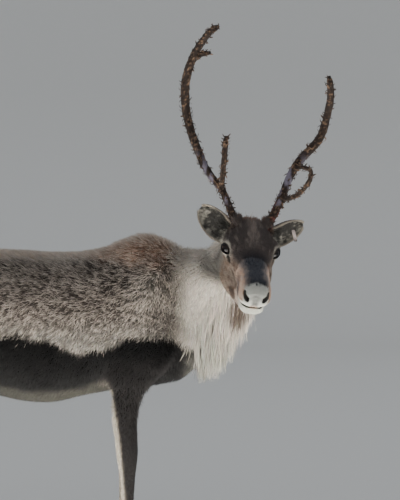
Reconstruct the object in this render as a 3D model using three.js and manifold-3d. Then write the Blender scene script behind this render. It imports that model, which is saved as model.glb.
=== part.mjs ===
// A standing reindeer at life size, its head turned to its right, as a still museum model.
// Every body part that a person would name is a closed solid of its own. The flesh is built as one
// union of lofted forms and then parted with thin cuts, so the outline runs on across each cut.
import * as THREE from "three";
import { mergeVertices } from "three/addons/utils/BufferGeometryUtils.js";
import Module from "manifold-3d";

const wasm = await Module();
wasm.setup();

// Driving dimensions, in millimetres and degrees. X is forward, Y is to the animal's left and Z is
// up. While the body is built, X = 0 is over the near fore foot and Z = 0 is the ground.
const GAP = 0.3; // kept between touching pieces
const FAR_FORE_SHIFT = -22; // the far fore foot stands this far behind the near one
const FAR_HIND_SHIFT = 85; // the far hind foot stands this far ahead of the near one
const EYE_RADIUS = 19;
const EYE_OUT = 70; // eye centre, from the head's midline
const LID = 3.4; // thickness of an eyelid
const HEAD_AT = [392, -220, 976]; // midway between the eyes
const HEAD_PITCH = 31.8; // nose below level
const HEAD_TURN = -87.1; // from straight ahead, towards the animal's right
const HEAD_ROLL = -6.7; // left eye lower than the right one
const EAR_LENGTH = 128;
const EAR_WIDTH = 100;
const EAR_THICK = 5;
const TAG = { at: [529, -102, 1036], size: [11, 2.4, 40], lean: 14, button: 4.5 };
const FAR = 3000; // larger than the animal

// Trunk sections, from breast to rump: x, top, bottom, half width, squareness above and below.
const TRUNK = [
  [222, 775, 685, 38, 2.0, 2.0],
  [208, 850, 618, 90, 2.0, 2.0],
  [170, 962, 564, 130, 2.0, 2.2],
  [115, 1014, 545, 156, 1.9, 2.3],
  [62, 1031, 538, 172, 1.8, 2.3],
  [0, 1018, 531, 186, 1.8, 2.3],
  [-65, 994, 522, 196, 1.9, 2.3],
  [-140, 979, 508, 204, 2.1, 2.3],
  [-230, 976, 489, 210, 2.2, 2.3],
  [-320, 981, 492, 209, 2.3, 2.3],
  [-410, 986, 512, 203, 2.3, 2.3],
  [-500, 992, 541, 195, 2.3, 2.3],
  [-590, 995, 575, 186, 2.2, 2.2],
  [-680, 985, 616, 173, 2.1, 2.2],
  [-765, 954, 662, 150, 2.1, 2.1],
  [-835, 900, 712, 108, 2.0, 2.0],
  [-868, 850, 762, 55, 2.0, 2.0],
];
const TRUNK_WAIST = 0.47; // height of the widest level, from the bottom

// Neck sections, from inside the breast to inside the skull: centre x, y, z, half width, reach
// towards the crest and towards the throat.
const NECK = [
  [60, 0, 790, 120, 200, 190],
  [150, 0, 820, 124, 198, 232],
  [245, -14, 862, 110, 137, 166],
  [318, -46, 912, 95, 94, 120],
  [360, -84, 966, 82, 82, 92],
  [386, -122, 1000, 68, 66, 76],
  [392, -152, 1000, 50, 50, 56],
];

// Skull and upper jaw in the head's own frame, x towards the nose and z up from the eyes:
// x, top, bottom, half width, squareness above and below.
const SKULL = [
  [-150, 6, -60, 34, 2.0, 2.0],
  [-132, 32, -84, 62, 2.0, 2.0],
  [-100, 55, -96, 75, 2.1, 2.0],
  [-62, 63, -96, 80, 2.2, 2.0],
  [-20, 59, -90, 80, 2.3, 2.0],
  [20, 50, -82, 74, 2.3, 2.1],
  [60, 42, -74, 62, 2.3, 2.1],
  [100, 35, -66, 53, 2.3, 2.1],
  [145, 30, -57, 48, 2.4, 2.2],
  [185, 31, -52, 48, 2.6, 2.4],
  [215, 30, -52, 48, 2.7, 2.5],
  [235, 22, -50, 45, 2.6, 2.5],
  [248, 6, -40, 34, 2.4, 2.3],
  [252, -8, -26, 14, 2.0, 2.0],
];
const SKULL_WAIST = 0.4;

// Lower jaw, in the same frame.
const JAW = [
  [-126, -58, -100, 44, 2.0, 2.0],
  [-104, -30, -126, 70, 2.0, 2.4],
  [-60, -20, -142, 82, 2.0, 2.8],
  [-10, -20, -144, 82, 2.0, 3.0],
  [45, -25, -138, 72, 2.0, 3.0],
  [100, -32, -124, 57, 2.0, 2.9],
  [150, -38, -109, 45, 2.0, 2.7],
  [190, -42, -99, 39, 2.0, 2.5],
  [216, -46, -91, 34, 2.0, 2.3],
  [230, -52, -80, 22, 2.0, 2.0],
];
const JAW_WAIST = 0.5;
const MOUTH_LEVEL = -54; // height of the mouth's line at the front of the muzzle
const MOUTH_RISE = 2; // degrees that the line climbs towards its corner
const MOUTH_CORNER = 132; // how far forward the corner lies
const MOUTH_GAPE = 3.2;
const MOUTH_DEPTH = 9;

// Leg centrelines from inside the trunk to the hooves: x, distance from the midline, z, half depth
// fore and aft, half width.
const FORE_LEG = [
  [66, 112, 780, 84, 52],
  [78, 122, 700, 92, 62],
  [58, 124, 635, 90, 60],
  [24, 119, 570, 74, 51],
  [8, 113, 505, 52, 41],
  [2, 106, 440, 42, 35],
  [5, 102, 392, 37.5, 33],
  [8, 99, 345, 36, 33],
  [9, 97, 305, 32, 28],
  [10, 95, 265, 26, 24],
  [10, 94, 215, 22.5, 20.5],
  [10, 93, 160, 21.5, 20.5],
  [10, 92, 118, 25, 24.5],
  [19, 92, 84, 22.5, 24],
  [29, 92, 52, 24, 28],
  [34, 92, 26, 22, 27],
];
const HIND_LEG = [
  [-668, 92, 868, 118, 58],
  [-652, 112, 790, 136, 76],
  [-640, 120, 705, 128, 76],
  [-654, 121, 630, 104, 66],
  [-694, 117, 562, 74, 52],
  [-738, 112, 502, 52, 39],
  [-772, 107, 450, 43, 32],
  [-788, 104, 410, 41, 29.5],
  [-783, 101, 365, 33, 26.5],
  [-776, 99, 315, 26, 23],
  [-769, 97, 250, 23.5, 21],
  [-763, 95, 180, 23.5, 21],
  [-757, 93, 122, 27, 25],
  [-744, 93, 86, 24, 24.5],
  [-731, 93, 54, 25, 28],
  [-724, 93, 26, 22, 27],
];
const HOCK_POINT = { at: [-813, 104, 438], radii: [25, 21, 42] };

// Hooves: each foot has two claws and two dewclaws behind them.
const CLAW_LENGTH = 84;
const CLAW_WIDTH = 40;
const CLAW_HEIGHT = 46;
const CLEFT = 7; // between the two claws
const DEWCLAW = { back: 46, out: 20, top: 82, bottom: 16, radius: 13 };

// Antlers in dark velvet: offsets from each pedicle, x, y, z, in the animal's own frame, and the
// radius there. The head's pitch is already in them.
const PEDICLE = { x: -80, out: 54, z: 50 };
const RIGHT_ANTLER = {
  beam: [
    [5, -8, -34, 14],
    [-1, 0, 4, 12.5],
    [-18, 12, 52, 11],
    [-37, 25, 95, 11],
    [-82, 45, 157, 11.5],
    [-109, 62, 215, 13],
    [-133, 70, 280, 13.5],
    [-150, 64, 355, 13.5],
    [-149, 30, 437, 14],
    [-121, -28, 512, 12],
    [-78, -92, 567, 10],
    [-50, -120, 583, 7],
  ],
  fork: 3,
  tines: {
    brow_tine: [
      [-40, 28, 88, 7],
      [-38, 8, 112, 8.5],
      [-34, -28, 158, 8.5],
      [-29, -50, 216, 9],
      [-25, -55, 258, 6],
    ],
    top_tine: [
      [-124, -20, 503, 7],
      [-108, -36, 508, 8],
      [-92, -50, 509, 8],
      [-74, -64, 510, 6],
    ],
  },
};
const LEFT_ANTLER = {
  beam: [
    [-6, -8, -34, 14.5],
    [2, 0, 4, 13.5],
    [24, 12, 46, 12.5],
    [42, 22, 85, 12.5],
    [70, 46, 154, 12.5],
    [101, 60, 202, 13],
    [137, 68, 240, 13.5],
    [168, 65, 281, 13],
    [184, 42, 340, 12],
    [191, -8, 396, 11.5],
    [182, -60, 450, 8.5],
  ],
  fork: 3,
  tines: {
    brow_tine: [
      [38, 20, 82, 7],
      [52, -6, 80, 8],
      [72, -45, 82, 7],
      [96, -82, 98, 7],
      [117, -115, 128, 7.5],
      [120, -134, 158, 7],
      [98, -141, 169, 6],
      [70, -141, 165, 5],
    ],
  },
};

// Throat mane: flat, tapered locks that hang from the underside of the neck.
const MANE = { rows: 9, across: 7, spread: 74, width: 34, thick: 9, sunk: 12 };
const MANE_LENGTH = { middle: 130, side: 80, throat: 0.62, lowest: 548 };
const TAIL = [
  [-826, 0, 900, 28, 22],
  [-856, 0, 880, 27, 20],
  [-878, 0, 842, 25, 18],
  [-887, 0, 797, 22, 16],
  [-888, 0, 752, 14, 11],
  [-886, 0, 728, 5, 4],
];

const radians = THREE.MathUtils.degToRad;
const vec = (x, y, z) => new THREE.Vector3(x, y, z);
const UP = vec(0, 0, 1);

// Small helpers for numbers

// A seeded source of numbers from 0 to 1.
function seeded(seed) {
  let state = seed;
  return () => {
    state = (state * 1664525 + 1013904223) % 4294967296;
    return state / 4294967296;
  };
}

// Rows of numbers read smoothly at t from 0 to 1, by a Catmull-Rom curve through each column.
function rowAt(rows, t) {
  const along = t * (rows.length - 1);
  const i = Math.min(Math.floor(along), rows.length - 2);
  const u = along - i;
  const near = (k) => rows[Math.min(Math.max(k, 0), rows.length - 1)];
  return rows[0].map((_, c) => {
    const [a, b, d, e] = [near(i - 1)[c], near(i)[c], near(i + 1)[c], near(i + 2)[c]];
    const slope = (d - a) * u;
    const bend = (2 * a - 5 * b + 4 * d - e) * u * u;
    const twist = (3 * b - a - 3 * d + e) * u ** 3;
    return 0.5 * (2 * b + slope + bend + twist);
  });
}

// Solids from geometry and back

function toSolid(geometry) {
  const bare = new THREE.BufferGeometry();
  bare.setAttribute("position", geometry.getAttribute("position"));
  bare.setIndex(geometry.getIndex());
  const merged = mergeVertices(bare, 1e-4);
  const mesh = new wasm.Mesh({
    numProp: 3,
    vertProperties: new Float32Array(merged.attributes.position.array),
    triVerts: new Uint32Array(merged.index.array),
  });
  return new wasm.Manifold(mesh);
}

function toGeometry(made) {
  const { vertProperties, triVerts } = made.getMesh();
  const geometry = new THREE.BufferGeometry();
  geometry.setAttribute("position", new THREE.BufferAttribute(vertProperties, 3));
  geometry.setIndex(new THREE.BufferAttribute(triVerts, 1));
  geometry.computeVertexNormals();
  return geometry;
}

const joined = (solids) => solids.reduce((sum, next) => sum.add(next));

// The largest closed surface of a solid, which drops loose scraps.
function largest(made) {
  const parts = made.decompose();
  return parts.reduce((best, next) => (next.volume() > best.volume() ? next : best));
}

// Everything on the side of a plane that its normal points to.
function beyond(point, normal) {
  const box = new THREE.BoxGeometry(FAR, FAR, FAR).translate(FAR / 2, 0, 0);
  const turn = new THREE.Quaternion().setFromUnitVectors(vec(1, 0, 0), normal.clone().normalize());
  box.applyQuaternion(turn).translate(point.x, point.y, point.z);
  return toSolid(box);
}

// Lofted forms

// Rings of equal length, joined side to side and closed at both ends.
function loft(rings) {
  const sides = rings[0].length;
  const points = rings.flat();
  const centre = (ring) => ring.reduce((sum, p) => sum.add(p), vec(0, 0, 0)).divideScalar(sides);
  const [first, last] = [points.length, points.length + 1];
  points.push(centre(rings[0]), centre(rings.at(-1)));
  const index = [];
  for (let k = 0; k < sides; k++) {
    const next = (k + 1) % sides;
    const end = (rings.length - 1) * sides;
    index.push(first, next, k, last, end + k, end + next);
    for (let i = 0; i < rings.length - 1; i++) {
      const [a, b] = [i * sides + k, i * sides + next];
      index.push(a, b, a + sides, b, b + sides, a + sides);
    }
  }
  const geometry = new THREE.BufferGeometry().setFromPoints(points);
  geometry.setIndex(index);
  const made = toSolid(geometry);
  if (made.volume() > 0) return made;
  for (let i = 0; i < index.length; i += 3) [index[i], index[i + 1]] = [index[i + 1], index[i]];
  geometry.setIndex(index);
  return toSolid(geometry);
}

// An oval ring with its own reach up and down, and a squareness for each half (2 is an ellipse).
function oval({ centre, side, up, width, above, below, square = [2, 2], sides }) {
  return Array.from({ length: sides }, (_, k) => {
    const angle = (2 * Math.PI * k) / sides;
    const [c, s] = [Math.cos(angle), Math.sin(angle)];
    const power = 2 / (s > 0 ? square[0] : square[1]);
    const out = width * Math.sign(c) * Math.abs(c) ** power;
    const rise = (s > 0 ? above : below) * Math.sign(s) * Math.abs(s) ** power;
    return centre.clone().addScaledVector(side, out).addScaledVector(up, rise);
  });
}

// A form along the x axis, from rows of x, top, bottom, half width and two squarenesses.
function longForm(rows, { waist, sides, count, grow }) {
  const rings = Array.from({ length: count }, (_, i) => {
    const [x, top, bottom, width, ...square] = rowAt(rows, i / (count - 1));
    const level = bottom + waist * (top - bottom);
    const reach = { width: width + grow, above: top - level + grow, below: level - bottom + grow };
    return oval({ centre: vec(x, 0, level), side: vec(0, 1, 0), up: UP, ...reach, square, sides });
  });
  return loft(rings);
}

// The direction of a row's path at t, by a short step to each side.
function headingAt(rows, t) {
  const step = 0.02;
  const [ahead, behind] = [rowAt(rows, Math.min(t + step, 1)), rowAt(rows, Math.max(t - step, 0))];
  return vec(...ahead.slice(0, 3)).sub(vec(...behind.slice(0, 3))).normalize();
}

// The frame of the neck at t: centre, level side vector, and the vector towards the crest.
function neckFrame(t) {
  const [x, y, z, width, above, below] = rowAt(NECK, t);
  const heading = headingAt(NECK, t);
  const side = vec(-heading.y, heading.x, 0).normalize();
  const up = heading.clone().cross(side);
  return { centre: vec(x, y, z), side, up, heading, width, above, below };
}

function neckForm(grow) {
  const count = 13;
  const rings = Array.from({ length: count }, (_, i) => {
    const frame = neckFrame(i / (count - 1));
    const reach = { width: frame.width + grow, above: frame.above + grow, below: frame.below + grow };
    return oval({ ...frame, ...reach, sides: 20 });
  });
  return loft(rings);
}

// A limb or a tail along its rows of x, y, z, half depth and half width.
function limbForm(rows, { sides, count, grow }) {
  const rings = Array.from({ length: count }, (_, i) => {
    const t = i / (count - 1);
    const [x, y, z, depth, width] = rowAt(rows, t);
    const heading = headingAt(rows, t);
    const side = vec(0, 1, 0).addScaledVector(heading, -heading.y).normalize();
    const fore = side.clone().cross(heading);
    const reach = { width: width + grow, above: depth + grow, below: depth + grow };
    return oval({ centre: vec(x, y, z), side, up: fore, ...reach, sides });
  });
  return loft(rings);
}

// A round form along rows of x, y, z and radius, as an antler's beam.
function branch(rows, { sides, count, grow }) {
  const curve = new THREE.CatmullRomCurve3(rows.map(([x, y, z]) => vec(x, y, z)));
  const frames = curve.computeFrenetFrames(count - 1, false);
  const rings = Array.from({ length: count }, (_, i) => {
    const t = i / (count - 1);
    const radius = rowAt(rows, curve.getUtoTmapping(t))[3] + grow;
    const reach = { width: radius, above: radius, below: radius };
    const [side, up] = [frames.normals[i], frames.binormals[i]];
    return oval({ centre: curve.getPointAt(t), side, up, ...reach, sides });
  });
  return loft(rings);
}

function ellipsoid(at, radii, { grow = 0, turn = [0, 0, 0], segments = [10, 7] } = {}) {
  const ball = new THREE.SphereGeometry(1, ...segments);
  ball.scale(...radii.map((r) => r + grow));
  ball.applyQuaternion(new THREE.Quaternion().setFromEuler(new THREE.Euler(...turn.map(radians))));
  return toSolid(ball.translate(...at));
}

// Head

const headMatrix = new THREE.Matrix4().compose(
  vec(...HEAD_AT),
  new THREE.Quaternion().setFromEuler(
    new THREE.Euler(radians(HEAD_ROLL), radians(HEAD_PITCH), radians(HEAD_TURN), "ZYX"),
  ),
  vec(1, 1, 1),
);
const placeHead = (made) => made.transform(headMatrix.toArray());

// The groove round the muzzle that is the line of the mouth.
function mouthGroove() {
  const outline = (inset) => {
    const shape = new THREE.Shape();
    const half = 60 - inset;
    shape.moveTo(MOUTH_CORNER, -half);
    shape.lineTo(208 - inset, -half);
    shape.absarc(208 - inset, 0, half, -Math.PI / 2, Math.PI / 2);
    shape.lineTo(MOUTH_CORNER, half);
    return shape;
  };
  const flat = { depth: MOUTH_GAPE, bevelEnabled: false, curveSegments: 10 };
  const plate = new THREE.ExtrudeGeometry(outline(0), flat);
  plate.translate(0, 0, MOUTH_LEVEL - MOUTH_GAPE / 2);
  plate.rotateY(radians(MOUTH_RISE)).translate(0, 0, 205 * Math.sin(radians(MOUTH_RISE)));
  const core = longForm(
    SKULL.map(([x, top, bottom, width, ...square]) => [x, top + 60, bottom - 60, width, ...square]),
    { waist: SKULL_WAIST, sides: 16, count: 15, grow: -MOUTH_DEPTH },
  );
  return toSolid(plate).subtract(core);
}

// Nostrils as commas that lean in towards the lip.
function nostril(hand) {
  const hollow = ellipsoid([244, hand * 26, -16], [15, 6, 11], { turn: [hand * -26, 0, hand * 26] });
  const tail = ellipsoid([241, hand * 34, -3], [11, 3.5, 11], { turn: [hand * -22, 0, hand * 30] });
  return hollow.add(tail);
}

function headForm(grow) {
  const shapes = { sides: 20, count: 19, grow };
  const forms = [
    longForm(SKULL, { waist: SKULL_WAIST, ...shapes }),
    longForm(JAW, { waist: JAW_WAIST, ...shapes, sides: 14, count: 14 }),
  ];
  for (const hand of [-1, 1]) {
    const lids = EYE_RADIUS + LID;
    const fine = { grow, segments: [14, 9] };
    forms.push(
      ellipsoid([-6, hand * 58, 10], [36, 26, 25], { grow, turn: [0, 0, hand * -8] }), // brow
      ellipsoid([0, hand * EYE_OUT, 0], [lids, lids, lids], fine),
      ellipsoid([-58, hand * 50, -70], [40, 18, 38], { grow }), // cheek
      ellipsoid([196, hand * 30, -32], [38, 19, 20], { grow }), // side of the upper lip
      ellipsoid([-78, hand * 46, 50], [24, 19, 20], { grow }), // pedicle
    );
  }
  return joined(forms);
}

// What is cut out of the head: eye openings and sockets, tear pits, nostrils and the mouth.
function headHollows() {
  const cuts = [mouthGroove()];
  for (const hand of [-1, 1]) {
    const socket = EYE_RADIUS + GAP;
    cuts.push(
      nostril(hand),
      ellipsoid([0, hand * EYE_OUT, 0], [socket, socket, socket], { segments: [14, 9] }),
      ellipsoid([16.5, hand * (EYE_OUT + 12.5), 3], [18, 14, 13], {
        turn: [hand * 8, 14, hand * -48],
        segments: [12, 7],
      }), // the opening between the lids
      ellipsoid([36, hand * 66, -16], [11, 6, 4.5], { turn: [0, 28, hand * -24] }), // tear pit
    );
  }
  return joined(cuts);
}

// Flesh

const mirrored = (rows, hand) => rows.map(([x, y, ...rest]) => [x, hand * y, ...rest]);

// A leg's rows with its foot moved along, less and less towards the hip.
function stanced(rows, hand, shift) {
  const hip = rows[0][2];
  const moved = rows.map(([x, y, z, ...rest]) => [x + (shift * (hip - z)) / hip, y, z, ...rest]);
  return mirrored(moved, hand);
}

const LEGS = [
  { name: "fore_right", rows: stanced(FORE_LEG, -1, 0), hand: -1, fore: true },
  { name: "fore_left", rows: stanced(FORE_LEG, 1, FAR_FORE_SHIFT), hand: 1, fore: true },
  { name: "hind_right", rows: stanced(HIND_LEG, -1, 0), hand: -1, fore: false },
  { name: "hind_left", rows: stanced(HIND_LEG, 1, FAR_HIND_SHIFT), hand: 1, fore: false },
];

// How far a leg's stance has moved it along at a height.
const shiftAt = (leg, z) => {
  const shift = leg.name === "fore_left" ? FAR_FORE_SHIFT : FAR_HIND_SHIFT;
  const hip = leg.rows[0][2];
  return leg.hand < 0 ? 0 : (shift * (hip - z)) / hip;
};

function fleshForm(grow) {
  const forms = [
    longForm(TRUNK, { waist: TRUNK_WAIST, sides: 22, count: 22, grow }),
    neckForm(grow),
    placeHead(headForm(grow)),
  ];
  for (const leg of LEGS) {
    forms.push(limbForm(leg.rows, { sides: 12, count: 23, grow }));
    if (leg.fore) {
      const blade = { grow, turn: [0, -62, 0], segments: [16, 10] };
      forms.push(ellipsoid([50, leg.hand * 104, 815], [150, 72, 78], blade)); // shoulder blade
    } else {
      const [x, y, z] = HOCK_POINT.at;
      const heel = [x + shiftAt(leg, z), leg.hand * y, z];
      forms.push(ellipsoid(heel, HOCK_POINT.radii, { grow, turn: [0, -14, 0] }));
    }
  }
  return joined(forms);
}

const flesh = fleshForm(0);
const clearance = fleshForm(GAP);

// Cuts that part the flesh

// Two halves on either side of a plane, with the gap between them.
function parted(made, point, normal) {
  const step = normal.clone().normalize().multiplyScalar(GAP / 2);
  return [
    made.intersect(beyond(point.clone().add(step), normal)),
    made.intersect(beyond(point.clone().sub(step), normal.clone().negate())),
  ];
}

// What lies beyond every one of several planes, less a margin.
function withinAll(planes, margin) {
  const halves = planes.map(([point, normal]) => {
    const heading = vec(...normal).normalize();
    return beyond(vec(...point).addScaledVector(heading, margin), heading);
  });
  return halves.reduce((all, next) => all.intersect(next));
}

const FORE_CUT = (hand) => [
  [[0, hand * 38, 548], [0, hand * 0.584, -0.812]],
  [[0, hand * 30, 0], [0, hand, 0]],
  [[132, 0, 0], [-1, 0, 0]],
  [[-100, 0, 0], [1, 0, 0]],
];
const HIND_CUT = (hand) => [
  [[0, hand * 34, 636], [0, hand * 0.84, -0.5425]],
  [[0, hand * 26, 0], [0, hand, 0]],
  [[-500, 0, 600], [-0.96, 0, -0.28]],
];
const HEAD_CUT = [
  [[-126, 0, 0], [1, 0, 0]],
  [[0, 0, -148], [0, 0, 1]],
].map(([point, normal]) => [
  vec(...point).applyMatrix4(headMatrix).toArray(),
  vec(...normal).transformDirection(headMatrix).toArray(),
]);
HEAD_CUT.push([[255, 0, 0], [1, 0, 0]]);
const NECK_CUT = [vec(128, 0, 780), vec(1, 0, 0.1)];
const KNEE_LEVEL = 345;
const HOCK_LEVEL = 400;

const materials = {
  coat: new THREE.MeshStandardMaterial({ color: 0x8a8078, roughness: 0.95 }),
  pale: new THREE.MeshStandardMaterial({ color: 0xc9c5ba, roughness: 0.95 }),
  face: new THREE.MeshStandardMaterial({ color: 0x3a3230, roughness: 0.9 }),
  leg: new THREE.MeshStandardMaterial({ color: 0x2b2624, roughness: 0.9 }),
  velvet: new THREE.MeshStandardMaterial({ color: 0x3b2e27, roughness: 0.85 }),
  hoof: new THREE.MeshStandardMaterial({ color: 0x1d1a18, roughness: 0.5 }),
  eye: new THREE.MeshStandardMaterial({ color: 0x0b0908, roughness: 0.08 }),
  tag: new THREE.MeshStandardMaterial({ color: 0xb7aca6, roughness: 0.4 }),
};

const reindeer = new THREE.Group();

function addNode(name, made, material) {
  const mesh = new THREE.Mesh(toGeometry(largest(made)), materials[material]);
  mesh.name = name;
  reindeer.add(mesh);
}

// Legs, each parted from the trunk and again at the knee or hock
let rest = flesh;
for (const leg of LEGS) {
  const cut = leg.fore ? FORE_CUT(leg.hand) : HIND_CUT(leg.hand);
  const whole = largest(rest.intersect(withinAll(cut, 0)));
  rest = rest.subtract(withinAll(cut, -GAP));
  const joint = leg.fore ? KNEE_LEVEL : HOCK_LEVEL;
  const [upper, lower] = parted(whole, vec(0, 0, joint), UP);
  addNode(`leg_${leg.name}_upper`, upper, leg.fore ? "leg" : "coat");
  addNode(`leg_${leg.name}_lower`, lower, "leg");
}

// Head, neck and trunk
const headSide = rest.intersect(withinAll(HEAD_CUT, 0));
const [neckSide, trunkSide] = parted(rest.subtract(withinAll(HEAD_CUT, -GAP)), ...NECK_CUT);
addNode("head", largest(headSide).subtract(placeHead(headHollows())), "face");
addNode("trunk", trunkSide, "coat");

// A flat, tapered lock that leaves its root outwards and bends to hang.
function lock({ root, out, hang, length, width, thick, sunk }) {
  const steps = [0, 0.22, 0.48, 0.74, 1];
  const side = hang.clone().cross(out).normalize();
  const start = root.clone().addScaledVector(out, -sunk);
  const place = (t) =>
    start
      .clone()
      .addScaledVector(out, sunk * 1.9 * Math.min(1, t * 3))
      .addScaledVector(hang, length * t);
  const rings = steps.map((t) => {
    const taper = Math.max(0.09, (1 - t) ** 0.62) * (0.8 + 0.35 * Math.sin(Math.PI * t));
    const flat = out.clone().addScaledVector(hang, -out.dot(hang)).normalize();
    const reach = { width: (width / 2) * taper, above: (thick / 2) * taper, below: (thick / 2) * taper };
    return oval({ centre: place(t), side, up: flat, ...reach, sides: 4 });
  });
  return loft(rings);
}

// The throat mane, in staggered rows from the throat to the breast
function maneLocks() {
  const random = seeded(7);
  const locks = [];
  for (let row = 0; row < MANE.rows; row++) {
    const along = row / (MANE.rows - 1);
    const t = 0.24 + 0.55 * along;
    const frame = neckFrame(t);
    for (let k = 0; k < MANE.across; k++) {
      const across = (k + (row % 2) / 2 + 0.25 + 0.3 * (random() - 0.5)) / MANE.across;
      const angle = radians(MANE.spread) * (2 * across - 1);
      const down = frame.up.clone().multiplyScalar(-Math.cos(angle));
      const out = down.addScaledVector(frame.side, Math.sin(angle)).normalize();
      const root = frame.centre
        .clone()
        .addScaledVector(frame.side, frame.width * Math.sin(angle))
        .addScaledVector(frame.up, -frame.below * Math.cos(angle));
      const middle = Math.cos(angle) ** 1.5;
      const reach = THREE.MathUtils.lerp(MANE_LENGTH.side, MANE_LENGTH.middle, middle);
      const wanted = reach * THREE.MathUtils.lerp(1, MANE_LENGTH.throat, along) * (0.85 + 0.3 * random());
      const length = Math.min(wanted, Math.max(40, root.z - MANE_LENGTH.lowest));
      const lean = vec(0.1 * (random() - 0.5), 0.1 * (random() - 0.5), 0);
      const hang = vec(-0.12, 0.04, -1).add(lean).addScaledVector(out, 0.16).normalize();
      locks.push(lock({ root, out, hang, length, width: MANE.width, thick: MANE.thick, sunk: MANE.sunk }));
    }
  }
  return joined(locks);
}

const [neckPoint, neckNormal] = NECK_CUT;
const trunkRegion = beyond(neckPoint.clone().addScaledVector(neckNormal, GAP), neckNormal.clone().negate());
const nearby = clearance.intersect(trunkRegion.add(withinAll(HEAD_CUT, -GAP)));
const mane = maneLocks().subtract(nearby);
addNode("neck", largest(neckSide).add(mane), "pale");

// Eyes
for (const [name, hand] of [["right", -1], ["left", 1]]) {
  const ball = ellipsoid([0, hand * EYE_OUT, 0], [EYE_RADIUS, EYE_RADIUS, EYE_RADIUS], { segments: [14, 9] });
  addNode(`eye_${name}`, placeHead(ball), "eye");
}

// An ear: a cupped leaf from its root to its tip, in the head's frame. Each ring runs over the
// front of the cup and back behind it.
function ear({ root, tip, open }, grow) {
  const axis = tip.clone().sub(root).normalize();
  const face = open.clone().addScaledVector(axis, -open.dot(axis)).normalize();
  const side = face.clone().cross(axis);
  const across = 7;
  const rings = Array.from({ length: 12 }, (_, i) => {
    const t = i / 11;
    const leaf = Math.sin(Math.PI * Math.min(1, 0.22 + 0.78 * t) ** 1.15) ** 0.5;
    const half = Math.max(3, (EAR_WIDTH / 2) * leaf) + grow;
    const cup = half * 0.5 * (1 - 0.35 * t) * Math.min(1, 0.25 + 3 * t);
    const depth = t < 0.12 ? half * 0.5 : 0;
    const point = (v, back) => {
      const curl = cup * v * v;
      const wall = back ? -EAR_THICK * (1 - 0.55 * v ** 2) - grow : grow;
      const filled = back ? 0 : depth * (1 - v * v);
      return root
        .clone()
        .addScaledVector(axis, EAR_LENGTH * (t - 0.1))
        .addScaledVector(side, half * Math.sin((v * Math.PI) / 2))
        .addScaledVector(face, curl + wall + filled - cup * 0.6);
    };
    const span = Array.from({ length: across }, (_, k) => (2 * k) / (across - 1) - 1);
    return [...span.map((v) => point(v, false)), ...span.reverse().map((v) => point(v, true))];
  });
  return loft(rings);
}

const EARS = [
  { name: "ear_right", root: vec(-84, -70, 0), tip: vec(-140, -152, 46), open: vec(0.9, -0.25, -0.1) },
  { name: "ear_left", root: vec(-84, 70, 0), tip: vec(-134, 180, 36), open: vec(0.9, 0.1, -0.25) },
];

// Antlers, split at their forks
let aroundAntlers = [];
for (const [name, antler, hand] of [["right", RIGHT_ANTLER, -1], ["left", LEFT_ANTLER, 1]]) {
  const base = vec(PEDICLE.x, hand * PEDICLE.out, PEDICLE.z).applyMatrix4(headMatrix);
  const placed = (rows) => rows.map(([x, y, z, r]) => [base.x + x, base.y + y, base.z + z, r]);
  const beam = (grow) => branch(placed(antler.beam), { sides: 8, count: 21, grow });
  aroundAntlers.push(beam(GAP));
  const fork = placed(antler.beam)[antler.fork];
  const heading = vec(...placed(antler.beam)[antler.fork + 1].slice(0, 3)).sub(vec(...fork.slice(0, 3)));
  const above = vec(...fork.slice(0, 3)).addScaledVector(heading.normalize(), 16);
  const [upper, lower] = parted(beam(0), above, heading);
  addNode(`antler_${name}_lower_beam`, largest(lower).subtract(clearance), "velvet");
  addNode(`antler_${name}_upper_beam`, upper, "velvet");
  for (const [tine, rows] of Object.entries(antler.tines)) {
    const made = branch(placed(rows), { sides: 7, count: 10, grow: 0 });
    addNode(`antler_${name}_${tine}`, made.subtract(beam(GAP)), "velvet");
  }
}

aroundAntlers = joined(aroundAntlers);
for (const { name, ...shape } of EARS) {
  addNode(name, placeHead(ear(shape, 0)).subtract(clearance).subtract(aroundAntlers), "pale");
}

// The ear tag, a narrow strip that hangs from a button in the lower edge of the left ear
const strip = new THREE.BoxGeometry(...TAG.size).translate(0, 0, -TAG.size[2] / 2 + 4);
strip.rotateY(radians(-TAG.lean)).translate(...TAG.at);
const stud = new THREE.CylinderGeometry(TAG.button, TAG.button, 14, 10).translate(...TAG.at);
const tagged = placeHead(ear(EARS[1], GAP));
const tag = toSolid(strip).add(toSolid(stud)).subtract(tagged).subtract(clearance);
addNode("ear_tag", tag, "tag");

// Feet: half-moon claws with flat soles, and dewclaws behind the pastern
function claw(centre, hand, size) {
  const levels = [
    [0, 0.97],
    [4, 1],
    [22, 0.93],
    [CLAW_HEIGHT * size, 0.66],
  ];
  const rings = levels.map(([z, scale]) =>
    Array.from({ length: 12 }, (_, k) => {
      const angle = (2 * Math.PI * k) / 12;
      const [c, s] = [Math.cos(angle), Math.sin(angle)];
      const toe = c > 0 ? 1.12 - 0.3 * Math.abs(s) : 0.86;
      const bulge = s > 0 ? 0.72 : 0.28;
      const x = (CLAW_LENGTH / 2) * size * c * toe * scale - 0.42 * z;
      const y = CLAW_WIDTH * size * s * bulge * (1 - 0.22 * Math.max(0, c)) * (0.5 + scale / 2);
      return vec(centre.x + x, centre.y + hand * (y + CLAW_WIDTH * size * 0.28 + CLEFT / 2), z);
    }),
  );
  return loft(rings);
}

function dewclaw(centre, hand) {
  const { back, out, top, bottom, radius } = DEWCLAW;
  const y = hand * out;
  const rows = [
    [centre.x - 10, centre.y + y * 0.6, top, radius * 0.7, radius * 0.6],
    [centre.x - 30, centre.y + y * 0.9, top - 20, radius, radius * 0.85],
    [centre.x - back, centre.y + y, (top + bottom) / 2 - 8, radius, radius * 0.85],
    [centre.x - back - 3, centre.y + y * 1.1, bottom, radius * 0.55, radius * 0.5],
  ];
  return limbForm(rows, { sides: 6, count: 5, grow: 0 });
}

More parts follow.
